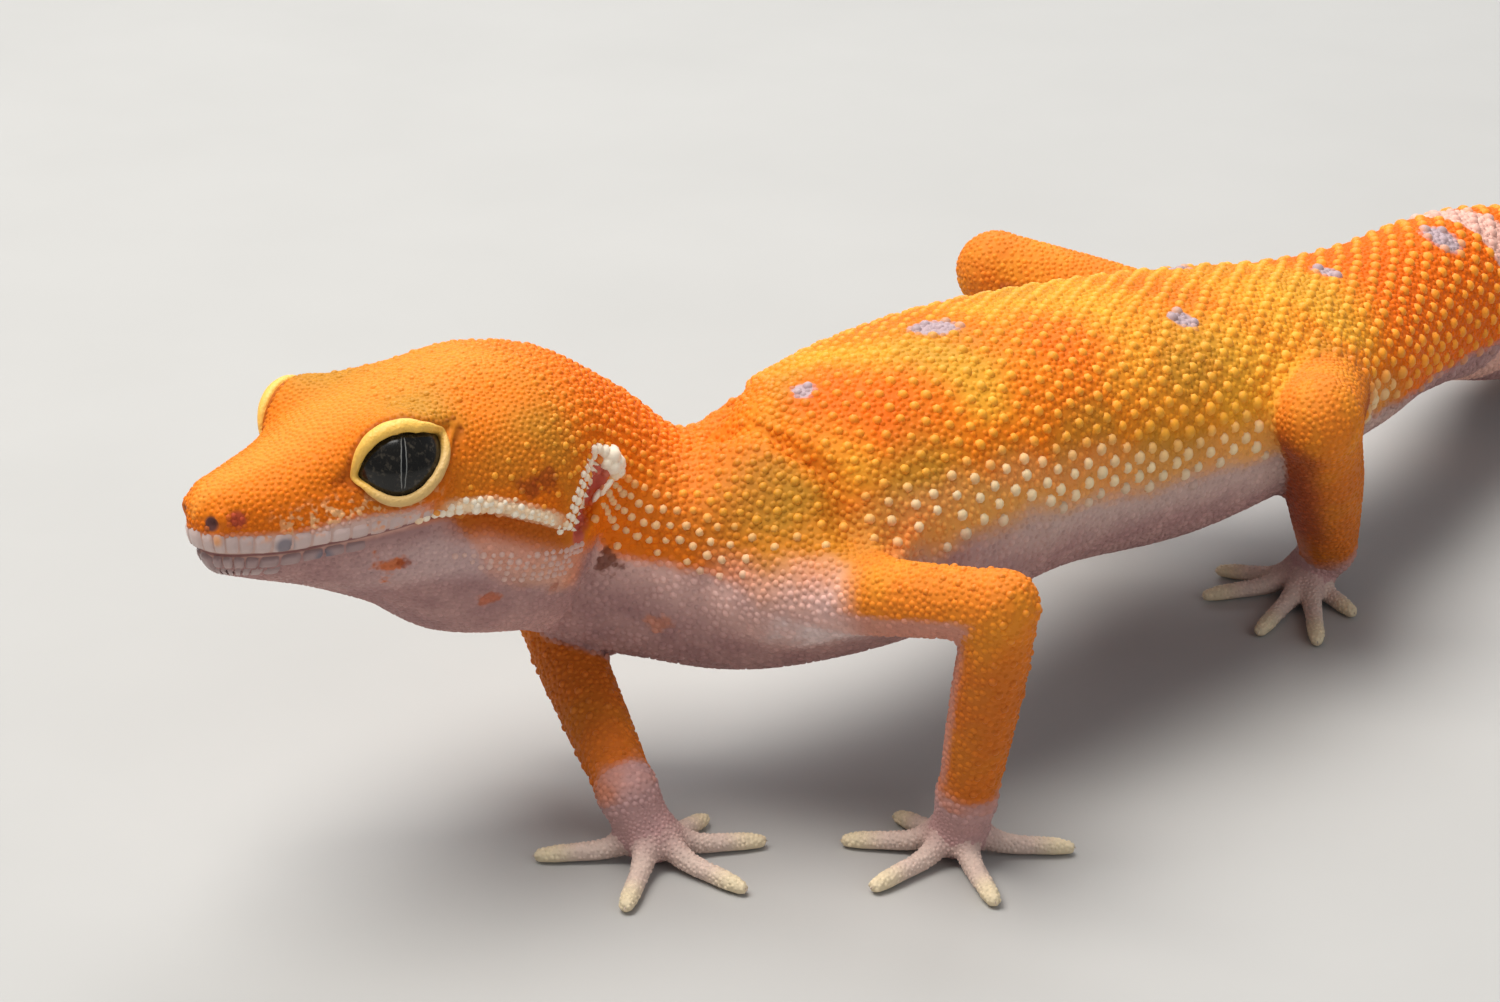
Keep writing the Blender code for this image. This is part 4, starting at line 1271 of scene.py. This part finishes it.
def finish_grains(tree, given, points, lie, size):
    """Note each grain's root and tint, set the grain there, and give out one plain mesh."""
    position = tree_node(tree, "GeometryNodeInputPosition")
    rooted = tree_node(tree, "GeometryNodeStoreNamedAttribute",
                       {"Geometry": points, "Value": position.outputs[0]},
                       {"data_type": "FLOAT_VECTOR", "domain": "POINT"}, {"Name": "root"})
    chance = tree_node(tree, "FunctionNodeRandomValue", {"Seed": given["Seed"]},
                       {"data_type": "FLOAT"})
    tinted = tree_node(tree, "GeometryNodeStoreNamedAttribute",
                       {"Geometry": rooted.outputs[0], "Value": chance.outputs[1]},
                       {"data_type": "FLOAT", "domain": "POINT"}, {"Name": "tint"})
    grain = tree_node(tree, "GeometryNodeObjectInfo", {"Object": given["Grain"]})
    placed = tree_node(tree, "GeometryNodeInstanceOnPoints",
                       {"Points": tinted.outputs[0], "Instance": grain.outputs["Geometry"],
                        "Rotation": lie, "Scale": size})
    real = tree_node(tree, "GeometryNodeRealizeInstances", {0: placed.outputs[0]})
    dressed = tree_node(tree, "GeometryNodeSetMaterial",
                        {"Geometry": real.outputs[0], "Material": given["Material"]})
    out = tree.nodes.new("NodeGroupOutput")
    tree.links.new(dressed.outputs[0], out.inputs[0])
    return tree


def grown(name, base, tree, values):
    """Run a geometry tree on a mesh and keep what it makes as a plain piece."""
    holder = bpy.data.objects.new(name + "_base", base)
    bpy.context.scene.collection.objects.link(holder)
    modifier = holder.modifiers.new("grow", "NODES")
    modifier.node_group = tree
    for item in tree.interface.items_tree:
        if item.in_out == "INPUT" and item.name in values:
            modifier[item.identifier] = values[item.name]
    holder.update_tag()
    depsgraph = bpy.context.evaluated_depsgraph_get()
    data = bpy.data.meshes.new_from_object(holder.evaluated_get(depsgraph))
    holder.modifiers.remove(modifier)
    bpy.data.objects.remove(holder)
    data.name = name
    obj = bpy.data.objects.new(name, data)
    bpy.context.scene.collection.objects.link(obj)
    data.shade_smooth()
    bake_patches(data)
    return obj


# Half a scale's patch on its map, and the distance from its root (mm) that fills it.
PATCH_HALF, PATCH_REACH = 0.0015, 0.9


def bake_patches(data):
    """UV map OFBake: each scale is a small patch at its root's place on the unrolled skin."""
    root = vectors(data.attributes["root"].data) / MM
    share, reach, inner = vectors(data.attributes["leg"].data).T
    s, aside, above = body.locate(root)
    u = 0.01 + 0.98 * s / TAIL_TIP_AT
    v = 0.01 + 0.56 * (np.arctan2(aside, above) / (2 * math.pi) + 0.5)
    off = mesh_points(data) - root
    along, left = body.sample(body.along, s), body.sample(body.left, s)
    across = (off * left).sum(1) + 0.7 * off[:, 2]
    slide = np.clip((off * along).sum(1) / PATCH_REACH, -1, 1) * PATCH_HALF
    shift = np.clip(across / PATCH_REACH, -1, 1) * PATCH_HALF
    row = np.select([(root[:, 0] > 9) & (root[:, 1] < -20), root[:, 1] < -20, root[:, 0] > 0],
                    [0, 1, 2], 3)
    on_leg = share > 0.5
    u = np.where(on_leg, 0.01 + 0.98 * np.clip(reach / 4, 0, 1), u)
    v = np.where(on_leg, 0.60 + 0.098 * (row + np.clip(inner * 0.48 + 0.5, 0.02, 0.98)), v)
    patch = np.stack([u + slide, v + shift], 1)[corner_vertices(data)]
    data.uv_layers.new(name="OFBake").data.foreach_set("uv", patch.astype("f").ravel())


# Piece, zone, spacing and size of its granules (mm).
GRANULES = (
    ("fine_scales_head", HEAD, 0.325, 0.2, "skin_orange"),
    ("fine_scales_trunk_front", TRUNK_FRONT, 0.44, 0.275, "skin_orange"),
    ("fine_scales_trunk_rear", TRUNK_REAR, 0.44, 0.275, "skin_orange"),
    ("fine_scales_tail", TAIL, 0.44, 0.275, "skin_tail"),
    ("fine_scales_legs_left", LEFT_LEGS, 0.38, 0.235, "skin_orange"),
    ("fine_scales_legs_right", RIGHT_LEGS, 0.38, 0.235, "skin_orange"),
    ("fine_scales_paws", PAWS, 0.25, 0.15, "skin_pale"),
)
scale_paint = Paint("gecko_scales")
scale_tint = scale_paint.attribute("tint", 2) * 0.22 + 0.93
scale_material = scale_paint.finish(markings(scale_paint).scaled(scale_tint), 0.55, 0.13)
granule = dome("granule", GRANULE_RINGS, 6)
granules_tree = granule_tree()
for name, zone, spacing, size, slot in GRANULES:
    piece = grown(name, skin_mesh, granules_tree,
                  {"Grain": granule, "Material": scale_material, "Zone": zone,
                   "Spacing": spacing * MM, "Size": size * MM, "Seed": GRANULE_SEED + zone})
    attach(piece, "root")

# ================================================================ the knobs
# Rows of larger round tubercles stand among the granules: staggered rings over back, flanks and
# tail, smaller on the nape, and loose ones on crown, temples and the outsides of the forelegs.
# By distance along: the gap between knobs, and how far round from the ridge they go (degrees).
KNOB_GAP = {0.0: 0.95, 24.0: 0.95, 30.0: 1.0, 38.0: 1.12, 50.0: 1.32, 70.0: 1.52, 100.0: 1.6,
            125.0: 1.75, 150.0: 1.4, 170.0: 0.95, 187.0: 0.6}
KNOB_REACH = {20.0: 80.0, 27.0: 112.0, 34.0: 118.0, 40.0: 108.0, 47.0: 95.0, 55.0: 100.0,
              70.0: 108.0, 100.0: 106.0, 115.0: 122.0, 187.0: 130.0}
# The first ring; the step to the next and a knob's radius as shares of the gap; then the place
# from front to back where the two pieces part.
KNOBS_FROM, ROW_SHARE, KNOB_SHARE, KNOB_PARTING = 21.5, 0.86, 0.285, 12.0
KNOB_RINGS = ((1.05, -0.25), (0.86, 0.30), (0.50, 0.62))
CHANCE_SEED, PLANTED_SEED = 11, 3
# A ray starts STAND_OFF above the body; a hit more than MOST_OFF off the body is not taken.
STAND_OFF, MOST_OFF = 2.5, 0.9
skin_tree = BVHTree.FromPolygons([tuple(v.co) for v in skin_mesh.vertices],
                                 [tuple(p.vertices) for p in skin_mesh.polygons])


def skin_hit(origin, way, reach=30.0):
    """Where a ray (mm) meets the skin: point and outward normal, or None."""
    place, normal, _, _ = skin_tree.ray_cast(Vector(origin * MM), Vector(way), reach * MM)
    return None if place is None else (np.array(place) / MM, np.array(normal))


def radial_hit(s, turn):
    """The skin at a distance along and an angle (radians) from the ridge of the long body."""
    r = float(body.radius(np.array(s), turn)) + STAND_OFF
    origin = body.point(s, r * math.sin(turn), r * math.cos(turn))
    centre = body.point(s, 0.0, 0.0)
    hit = skin_hit(origin, unit(centre - origin))
    if hit is None or abs(np.linalg.norm(hit[0] - centre) - r + STAND_OFF) > MOST_OFF:
        return None
    return hit


def knob_rings(chance):
    """Staggered rings of knobs: root, normal, size."""
    found = []
    s, row = KNOBS_FROM, 0
    while s < TAIL_TIP_AT - 0.8:
        gap = float(along_table(KNOB_GAP, s))
        last = math.radians(float(along_table(KNOB_REACH, s)))
        fine = np.linspace(0.0, math.pi, 200)
        run = np.concatenate([[0.0], np.cumsum(body.radius(np.full(199, s), fine[1:]))
                              * (fine[1] - fine[0])])
        count = int(run[-1] / gap)
        for k in range(-count, count + 1):
            arc = (k + 0.5 * (row % 2)) * gap + chance.normal(0.0, 0.055) * gap
            turn = float(np.interp(abs(arc), run, fine)) * (1 if arc >= 0 else -1)
            fade = np.clip((last - abs(turn)) / 0.25, 0.0, 1.0)
            if chance.random() > fade or abs(arc) > run[-1]:
                continue
            hit = radial_hit(s + chance.normal(0.0, 0.045) * gap, turn)
            if hit is None:
                continue
            flank = 0.16 * math.exp(-((abs(turn) - 1.48) / 0.2) ** 2) if 44 < s < 104 else 0.0
            found.append((*hit, gap * (KNOB_SHARE + flank * 0.3) * chance.uniform(0.86, 1.1)))
        s += gap * ROW_SHARE
        row += 1
    return found


def spread(points, gap, chance, most=4000):
    """Indices of points at least a gap apart, picked in a shuffled order."""
    order, kept = chance.permutation(len(points)), []
    taken = np.empty((0, 3))
    for k in order:
        if len(taken) and ((taken - points[k]) ** 2).sum(1).min() < gap * gap:
            continue
        taken = np.vstack([taken, points[k]])
        kept.append(k)
        if len(kept) >= most:
            break
    return kept


def scattered_knobs(chance):
    """Sparse small bumps on crown and temples, and on the outsides of the forelegs."""
    points = mesh_points(skin_mesh)
    normal = vectors(skin_mesh.vertex_normals)
    share, reach, inner = vectors(skin_mesh.attributes["leg"].data).T
    s, aside, above = body.locate(points)
    turn = np.degrees(np.abs(np.arctan2(aside, above)))
    by_eye = np.minimum(*(eye.polar(points)[2] for eye in eyes.values())) > 1.9
    head = (s > 12.5) & (s < 22.5) & (turn < 96) & by_eye & (share < 0.1)
    limb = (share > 0.85) & (reach > 0.25) & (reach < 1.93) & (inner < 0.15) & (s < 60)
    found = []
    for mask, gap, size in ((head, 1.05, 0.24), (limb, 1.12, 0.27)):
        some = np.nonzero(mask)[0]
        some = chance.choice(some, min(len(some), 9000), replace=False)
        for k in np.array(some)[spread(points[some], gap, chance)]:
            found.append((points[k], normal[k], size * chance.uniform(0.7, 1.15)))
    return found


def planted_tree():
    """Sets a grain on every vertex of a mesh, by its kept lie, heading and size."""
    tree = node_group("planted", {"Seed": "NodeSocketInt"})
    given = tree.nodes.new("NodeGroupInput").outputs
    lie, size, heading = (
        tree_node(tree, "GeometryNodeInputNamedAttribute", None, {"data_type": "FLOAT_VECTOR"},
                  {"Name": label}).outputs["Attribute"] for label in ("lie", "size", "heading"))
    upright = tree_node(tree, "FunctionNodeAlignRotationToVector", {"Vector": lie},
                        {"axis": "Z", "pivot_axis": "AUTO"})
    aimed = tree_node(tree, "FunctionNodeAlignRotationToVector",
                      {"Rotation": upright.outputs[0], "Vector": heading},
                      {"axis": "X", "pivot_axis": "Z"})
    return finish_grains(tree, given, given["Geometry"], aimed.outputs[0], size)


def seed_mesh(name, found):
    """A cloud of roots carrying the places and lies a coat piece needs."""
    data = bpy.data.meshes.new(name)
    roots, normals, sizes, headings = (np.array([row[k] for row in found], float)
                                       for k in range(4))
    data.from_pydata([tuple(p) for p in roots * MM], [], [])
    mark_places(data)
    keep(data, "lie", normals)
    keep(data, "heading", headings)
    keep(data, "size", sizes * MM)
    return data


def plant(name, found, grain, mat):
    """Grow one coat piece from roots, each with its normal, its size and perhaps a heading."""
    rows = []
    for root, normal, size, *given in found:
        heading = given[0] if given else np.array((1.0, 0.2, 0.0))
        size = np.ones(3) * size if np.ndim(size) == 0 else np.array(size)
        rows.append((root, normal, size, heading))
    piece = grown(name, seed_mesh(name, rows), planted,
                  {"Grain": grain, "Material": mat, "Seed": PLANTED_SEED})
    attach(piece, "root")
    return piece


planted = planted_tree()
knob_paint = Paint("gecko_knobs")
knob_tint = knob_paint.attribute("tint", 2) * 0.16 + 0.96
knob_material = knob_paint.finish(markings(knob_paint, knobs=True).scaled(knob_tint), 0.45, 0.2)
knob = dome("knob", KNOB_RINGS, 8, tip=0.72)
chance = np.random.default_rng(CHANCE_SEED)
rings = knob_rings(chance)
front_rings = [row for row in rings if row[0][1] < KNOB_PARTING]
rear_rings = [row for row in rings if row[0][1] >= KNOB_PARTING]
plant("knobs_front", front_rings + scattered_knobs(chance), knob, knob_material)
plant("knobs_rear", rear_rings, knob, knob_material)

# ================================================================ the lip plates
# Smooth pale shields edge both jaws: a broad one on the snout's tip, then a row down each side.
# Each is a low pillow of harder scale laid over the skin, open behind.
SNOUT_TURN_AT, SNOUT_TURN = 3.2, 3.4


def lip_hit(q, above, side):
    """Skin point and normal at a distance q round the mouth from the snout's tip."""
    sweep = min(q / SNOUT_TURN, math.pi / 2)
    past = max(0.0, q - SNOUT_TURN * math.pi / 2)
    s = SNOUT_TURN_AT + past
    centre = body.point(s, 0.0, above)
    left, along = body.sample(body.left, s), body.sample(body.along, s)
    way = side * left * math.sin(sweep) - along * math.cos(sweep)
    hit = skin_hit(centre + way * 14.0, -way)
    return hit if hit else (centre + way * 3.0, way)


def lip_distance(q):
    """Distance along the body at a distance q round the mouth."""
    sweep = min(q / SNOUT_TURN, math.pi / 2)
    return SNOUT_TURN_AT * (1 - math.cos(sweep)) + max(0.0, q - SNOUT_TURN * math.pi / 2)


def plate(points, faces, start, stop, low, high, side, rise):
    """A pillow over the skin between two distances round the mouth and two height curves."""
    first, across, tall = len(points), 7, 6
    for i in range(across):
        for j in range(tall):
            x, y = 2 * i / (across - 1) - 1, 2 * j / (tall - 1) - 1
            q = start + (stop - start) * i / (across - 1)
            s = lip_distance(abs(q))
            above = low(s) + (high(s) - low(s)) * j / (tall - 1)
            above -= 0.10 * (high(s) - low(s)) * abs(x) ** 4 * y
            hit = lip_hit(abs(q), above, side if q >= 0 else -side)
            lift = rise * max(0.0, (1 - x ** 6) * (1 - y ** 6)) ** 0.35 - 0.05
            points.append(hit[0] + hit[1] * lift)
    for i in range(across - 1):
        for j in range(tall - 1):
            a = first + i * tall + j
            faces.append((a, a + tall, a + tall + 1, a + 1))


def mouth_at(s):
    return float(along_table(MOUTH_LINE, s))


def lip_rows(chance):
    """Plates of both jaws on both sides; returns points, faces and a tint for each point."""
    points, faces, tints = [], [], []

    def row(edges, low, high, rise, tone, side):
        for start, stop in zip(edges, edges[1:]):
            height = rise * float(np.interp(start, (7.5, 13.0), (1.0, 0.45)))
            plate(points, faces, start + 0.012, stop - 0.012, low, high, side, height)
            shade = tone + chance.uniform(-0.07, 0.07)
            tints.extend([shade] * (len(points) - len(tints)))

    def upper_top(s):
        return float(along_table(LIP_TOP, s)) + 0.08

    widths = [0.95, 0.9, 0.95, 1.0, 1.05, 1.1, 1.1, 1.1, 1.1, 1.05, 1.0, 0.95, 0.9, 0.8, 0.7]
    upper = np.concatenate([[0.85], 0.85 + np.cumsum(widths)])
    row([-0.85, 0.85], lambda s: mouth_at(s) + 0.05, lambda s: upper_top(s) + 0.1, 0.17, 0.6, 1)
    row([-1.1, 1.1], lambda s: mouth_at(s) - 1.35, lambda s: mouth_at(s) - 0.12, 0.22, 0.3, 1)
    lower = np.concatenate([[1.1], 1.1 + np.cumsum([w * 1.08 for w in widths[:9]])])
    chin = np.concatenate([[0.0], np.cumsum([w * 0.8 for w in widths[:8]])])
    for side in (1, -1):
        row(upper, lambda s: mouth_at(s) + 0.05, upper_top, 0.17, 0.6, side)
        row(lower, lambda s: mouth_at(s) - 0.95 + 0.02 * s, lambda s: mouth_at(s) - 0.11, 0.24,
            0.3, side)
        row(chin, lambda s: mouth_at(s) - 1.55 + 0.04 * s, lambda s: mouth_at(s) - 0.97 + 0.02 * s,
            0.2, 0.34, side)
    return points, faces, np.array(tints)


lip_points, lip_faces, lip_tints = lip_rows(chance)
lip_mesh = bpy.data.meshes.new("lip_plates")
lip_mesh.from_pydata([tuple(p * MM) for p in lip_points], [], lip_faces)
lip_mesh.update()
facing = np.array([p.normal for p in lip_mesh.polygons])
middles = np.array([p.center for p in lip_mesh.polygons]) / MM
inward = (facing * (middles - body.point(6.0, 0.0, -1.0))).sum(1) < 0
for polygon, wrong in zip(lip_mesh.polygons, inward):
    if wrong:
        polygon.flip()
lip_mesh.update()
keep(lip_mesh, "tone", lip_tints)
keep(lip_mesh, "place", np.stack(body.locate(mesh_points(lip_mesh)), 1))
lip_paint = Paint("gecko_lips")
lip_place = lip_paint.attribute("place")
_, _, lip_above = lip_place.split()
lip_tone = lip_paint.flat(colour(158, 128, 126)).blend(
    colour(216, 190, 182), lip_paint.attribute("tone", 2).rise(0.15, 0.75))
lip_tone = lip_tone.blend(colour(232, 140, 60), lip_paint.noise(0.0008, 2.0).rise(0.54, 0.66)
                          * lip_above.rise(-1.3, -0.6) * 0.7)
for place in ((4.2, 3.9, -1.4), (6.5, 4.6, -2.5)):
    lip_tone = lip_tone.blend(GREY, lip_place.distance(place).rise(0.75, 0.35) * 0.85)
lip_tone = lip_tone.blend(colour(232, 150, 70), lip_place.distance((0.6, 1.9, -0.9)).rise(0.6, 0.2) * 0.7)
lips = add_object("lip_plates", lip_mesh, lip_paint.finish(lip_tone, 0.34, 0.45))
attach(lips, "root")

# ================================================================ beads, ear scales and claws
# White beads stand along the edge of the cheek fold; jagged white scales rim the front of each
# ear, with a lobe of them above; a small curved claw ends every toe.
def side_hit(s, turn, side):
    """The skin at an angle (degrees) from the ridge, down one side."""
    return radial_hit(s, side * math.radians(turn))


def cheek_beads(chance):
    """Four rows over the cheek fold: lift above it, size, and the run that each covers."""
    found = []
    for side in (1, -1):
        for row, (lift, size, first, last) in enumerate(
                ((0.16, 0.27, 11.8, 20.8), (0.48, 0.25, 13.0, 20.0), (0.8, 0.2, 14.0, 18.8),
                 (1.1, 0.15, 14.4, 17.4))):
            for s in np.arange(first, last, 0.47):
                s += chance.normal(0.0, 0.04) + 0.2 * (row % 2)
                above = mouth_at(s) + lift + chance.normal(0.0, 0.04)
                centre = body.point(s, 0.0, above)
                way = side * body.sample(body.left, s)
                hit = skin_hit(centre + way * 14.0, -way)
                if hit and chance.random() > 0.06 + 0.14 * row:
                    fall = np.clip((20.8 - s) / 3.0, 0.55, 1.0)
                    found.append((*hit, size * fall * chance.uniform(0.9, 1.25)))
    return found


def jaw_beads(chance):
    """Small pale domes in loose rows along the side of the jaw, under the cheek."""
    found = []
    for side in (1, -1):
        for row, turn in enumerate((113.0, 115.6, 118.2, 120.8, 123.4)):
            for s in np.arange(14.0 + 0.8 * row, 23.6 - 0.4 * row, 0.56):
                hit = side_hit(s + 0.28 * (row % 2) + chance.normal(0, 0.04),
                               turn + chance.normal(0.0, 0.3), side)
                if hit and chance.random() > 0.12:
                    found.append((*hit, 0.23 * chance.uniform(0.7, 1.1)))
    return found


def ear_beads(chance):
    """Pebbly white scales before the ear, its lobe above, and pale ones behind."""
    found = []
    for side in (1, -1):
        for s, turn, size in ((26.8, 75.2, 0.68), (27.7, 76.5, 0.62), (27.2, 79.6, 0.62),
                              (28.1, 79.8, 0.52), (26.3, 79.2, 0.46), (27.6, 82.8, 0.44),
                              (26.0, 74.0, 0.46), (25.3, 73.4, 0.40), (24.7, 74.0, 0.36),
                              (27.0, 72.6, 0.44), (28.3, 76.6, 0.42)):
            hit = side_hit(s, turn, side)
            if hit:
                found.append((*hit, (size, size, size * 1.25)))
        for k in range(10):
            for row in range(2):
                share = (k + 0.5 * row) / 9.5
                s = 25.1 - 3.7 * share ** 0.8 - 0.55 * (row + 0.6)
                turn = 77.0 + 28.0 * share
                hit = side_hit(s + chance.normal(0, 0.05), turn, side)
                if hit and share <= 1.0:
                    found.append((*hit, (0.28 - 0.05 * row) * chance.uniform(0.85, 1.15)))
        for k in range(6):
            share = k / 5
            hit = side_hit(27.0 - 2.9 * share, 87.0 + 21.0 * share, side)
            if hit:
                up = body.sample(body.up, 25.0) + 0.6 * body.sample(body.along, 25.0)
                found.append((*hit, (0.55, 0.22, 0.3), up))
    return found


def ear_teeth(chance):
    """Pointed scales along the front rim, leaning back over the slit."""
    found = []
    for side in (1, -1):
        for k in range(11):
            share = (k + 0.3) / 10.6
            hit = side_hit(25.2 - 3.35 * share ** 0.9, 79.5 + 27.0 * share, side)
            if hit is None:
                continue
            way = body.sample(body.along, 25.0) - 0.35 * body.sample(body.up, 25.0)
            size = chance.uniform(0.8, 1.15) * (0.34 if k % 2 else 0.27)
            found.append((hit[0], unit(hit[1] - way * 0.15), (size * 1.5, size * 0.8, size), way))
    return found


def tooth_mesh(name):
    """A pointed, keeled scale: long along x."""
    points = [(-0.7, -0.8, -0.3), (-0.7, 0.8, -0.3), (0.5, -0.5, 0.0), (0.5, 0.5, 0.0),
              (1.5, 0.0, 0.15), (-0.6, 0.0, 0.75), (0.5, 0.0, 0.62), (0.5, 0.0, -0.2)]
    faces = [(0, 2, 6, 5), (1, 5, 6, 3), (2, 4, 6), (3, 6, 4), (0, 5, 1), (2, 7, 4), (3, 4, 7)]
    return grain_of(closed_mesh(name, np.array(points) / MM, faces))


white_paint = Paint("gecko_white_scales")
white_place = white_paint.attribute("place")
white_tone = white_paint.flat(colour(255, 240, 216)).blend(
    colour(244, 190, 124), (white_paint.attribute("tint", 2) * 0.6
                            + white_paint.noise(0.002, 1.0) * 0.8).rise(0.84, 1.1) * 0.7)
white_tone = white_tone.blend(colour(222, 182, 168), white_place.split()[2].rise(-2.5, -3.1))
white_material = white_paint.finish(white_tone, 0.5, 0.28)
plant("cheek_beads", cheek_beads(chance) + ear_beads(chance) + jaw_beads(chance), knob,
              white_material)
tooth = tooth_mesh("tooth")
plant("ear_teeth", ear_teeth(chance), tooth, white_material)


def claw_mesh(name, sides=8, rows=6):
    """A small downcurved claw, its root at the origin and its tip along x."""
    points = []
    for k in range(rows + 1):
        share = k / rows
        middle = (1.15 * share, 0.0, 0.16 * math.sin(share * 2.6) - 0.30 * share ** 2)
        r = 0.30 * (1 - share) ** 0.8 + 0.015
        for j in range(sides):
            t = j / sides * 2 * math.pi
            points.append((middle[0], r * math.cos(t) * 0.8, middle[2] + r * math.sin(t)))
    faces = ring_faces(rows + 1, sides)
    faces += [tuple(range(sides)), tuple(range(rows * sides, (rows + 1) * sides))]
    return grain_of(closed_mesh(name, np.array(points) / MM, faces))


claws = []
for paths in toes.values():
    for toe in paths:
        way = unit(toe.points[-1] - toe.points[-3])
        way[2] = min(way[2], 0.0) * 0.3
        root = toe.points[-1] - way * 0.15 + np.array((0, 0, 0.08))
        claws.append((root, np.array((0.0, 0.0, 1.0)), 0.62, way))
claw_paint = Paint("gecko_claws")
claw_tone = claw_paint.flat(colour(214, 196, 178)).blend(colour(176, 150, 132),
                                                         claw_paint.noise(0.0006, 1.0))
claw = claw_mesh("claw")
plant("claws", claws, claw, claw_paint.finish(claw_tone, 0.3, 0.5))
for helper in (granule, knob, tooth, claw):
    bpy.data.objects.remove(helper)

# ================================================================ the floor, lights and camera
# A pale, plain studio floor under soft light from above and ahead. The long lens looks down on
# the animal from ahead and from its left.
floor_paint = Paint("studio_floor")
floor_tone = floor_paint.flat(colour(184, 183, 180)).blend(
    colour(176, 175, 172), floor_paint.noise(0.03, 3.0))
floor_points = [(-900, -900, 0), (900, -900, 0), (900, 1500, 0), (-900, 1500, 0)]
floor_data = bpy.data.meshes.new("studio_floor")
floor_data.from_pydata([tuple(v * MM for v in p) for p in floor_points], [], [(0, 1, 2, 3)])
floor = add_object("studio_floor", floor_data, floor_paint.finish(floor_tone, 0.8, 0.2))


def area_light(name, place, target, size, power, tint):
    """A square soft light aimed at a point; places in millimetres."""
    lamp = bpy.data.lights.new(name, "AREA")
    lamp.shape, lamp.size, lamp.energy, lamp.color = "SQUARE", size * MM, power, tint
    obj = bpy.data.objects.new(name, lamp)
    obj.location = Vector(place) * MM
    way = Vector(target) - Vector(place)
    obj.rotation_euler = way.to_track_quat("-Z", "Y").to_euler()
    bpy.context.scene.collection.objects.link(obj)
    return obj


area_light("key_light", (-150, -170, 540), (0, -30, 10), 420, 4.3, (1.0, 0.97, 0.93))
area_light("back_light", (-260, 260, 420), (0, -20, 10), 360, 1.6, (0.96, 0.98, 1.0))
side_light = area_light("side_light", (420, -120, 240), (0, -20, 10), 300, 0.35, (0.97, 0.98, 1.0))
side_light.visible_glossy = False

world = bpy.data.worlds.new("studio_sky")
world.use_nodes = True
world.node_tree.nodes["Background"].inputs["Color"].default_value = (0.80, 0.84, 0.90, 1.0)
world.node_tree.nodes["Background"].inputs["Strength"].default_value = 0.27
bpy.context.scene.world = world
bpy.context.scene.view_settings.view_transform = "Standard"

LOOK_DOWN, LOOK_ROUND = 22.5, 43.0
lens = bpy.data.cameras.new("camera")
lens.lens, lens.sensor_width = 92.4, 36.0
lens.clip_start, lens.clip_end = 0.01, 10.0
camera = bpy.data.objects.new("camera", lens)
camera.location = (0.154808, -0.221574, 0.114491)
camera.rotation_euler = (math.radians(90 - LOOK_DOWN), 0.0, math.radians(LOOK_ROUND))
bpy.context.scene.collection.objects.link(camera)
bpy.context.scene.camera = camera
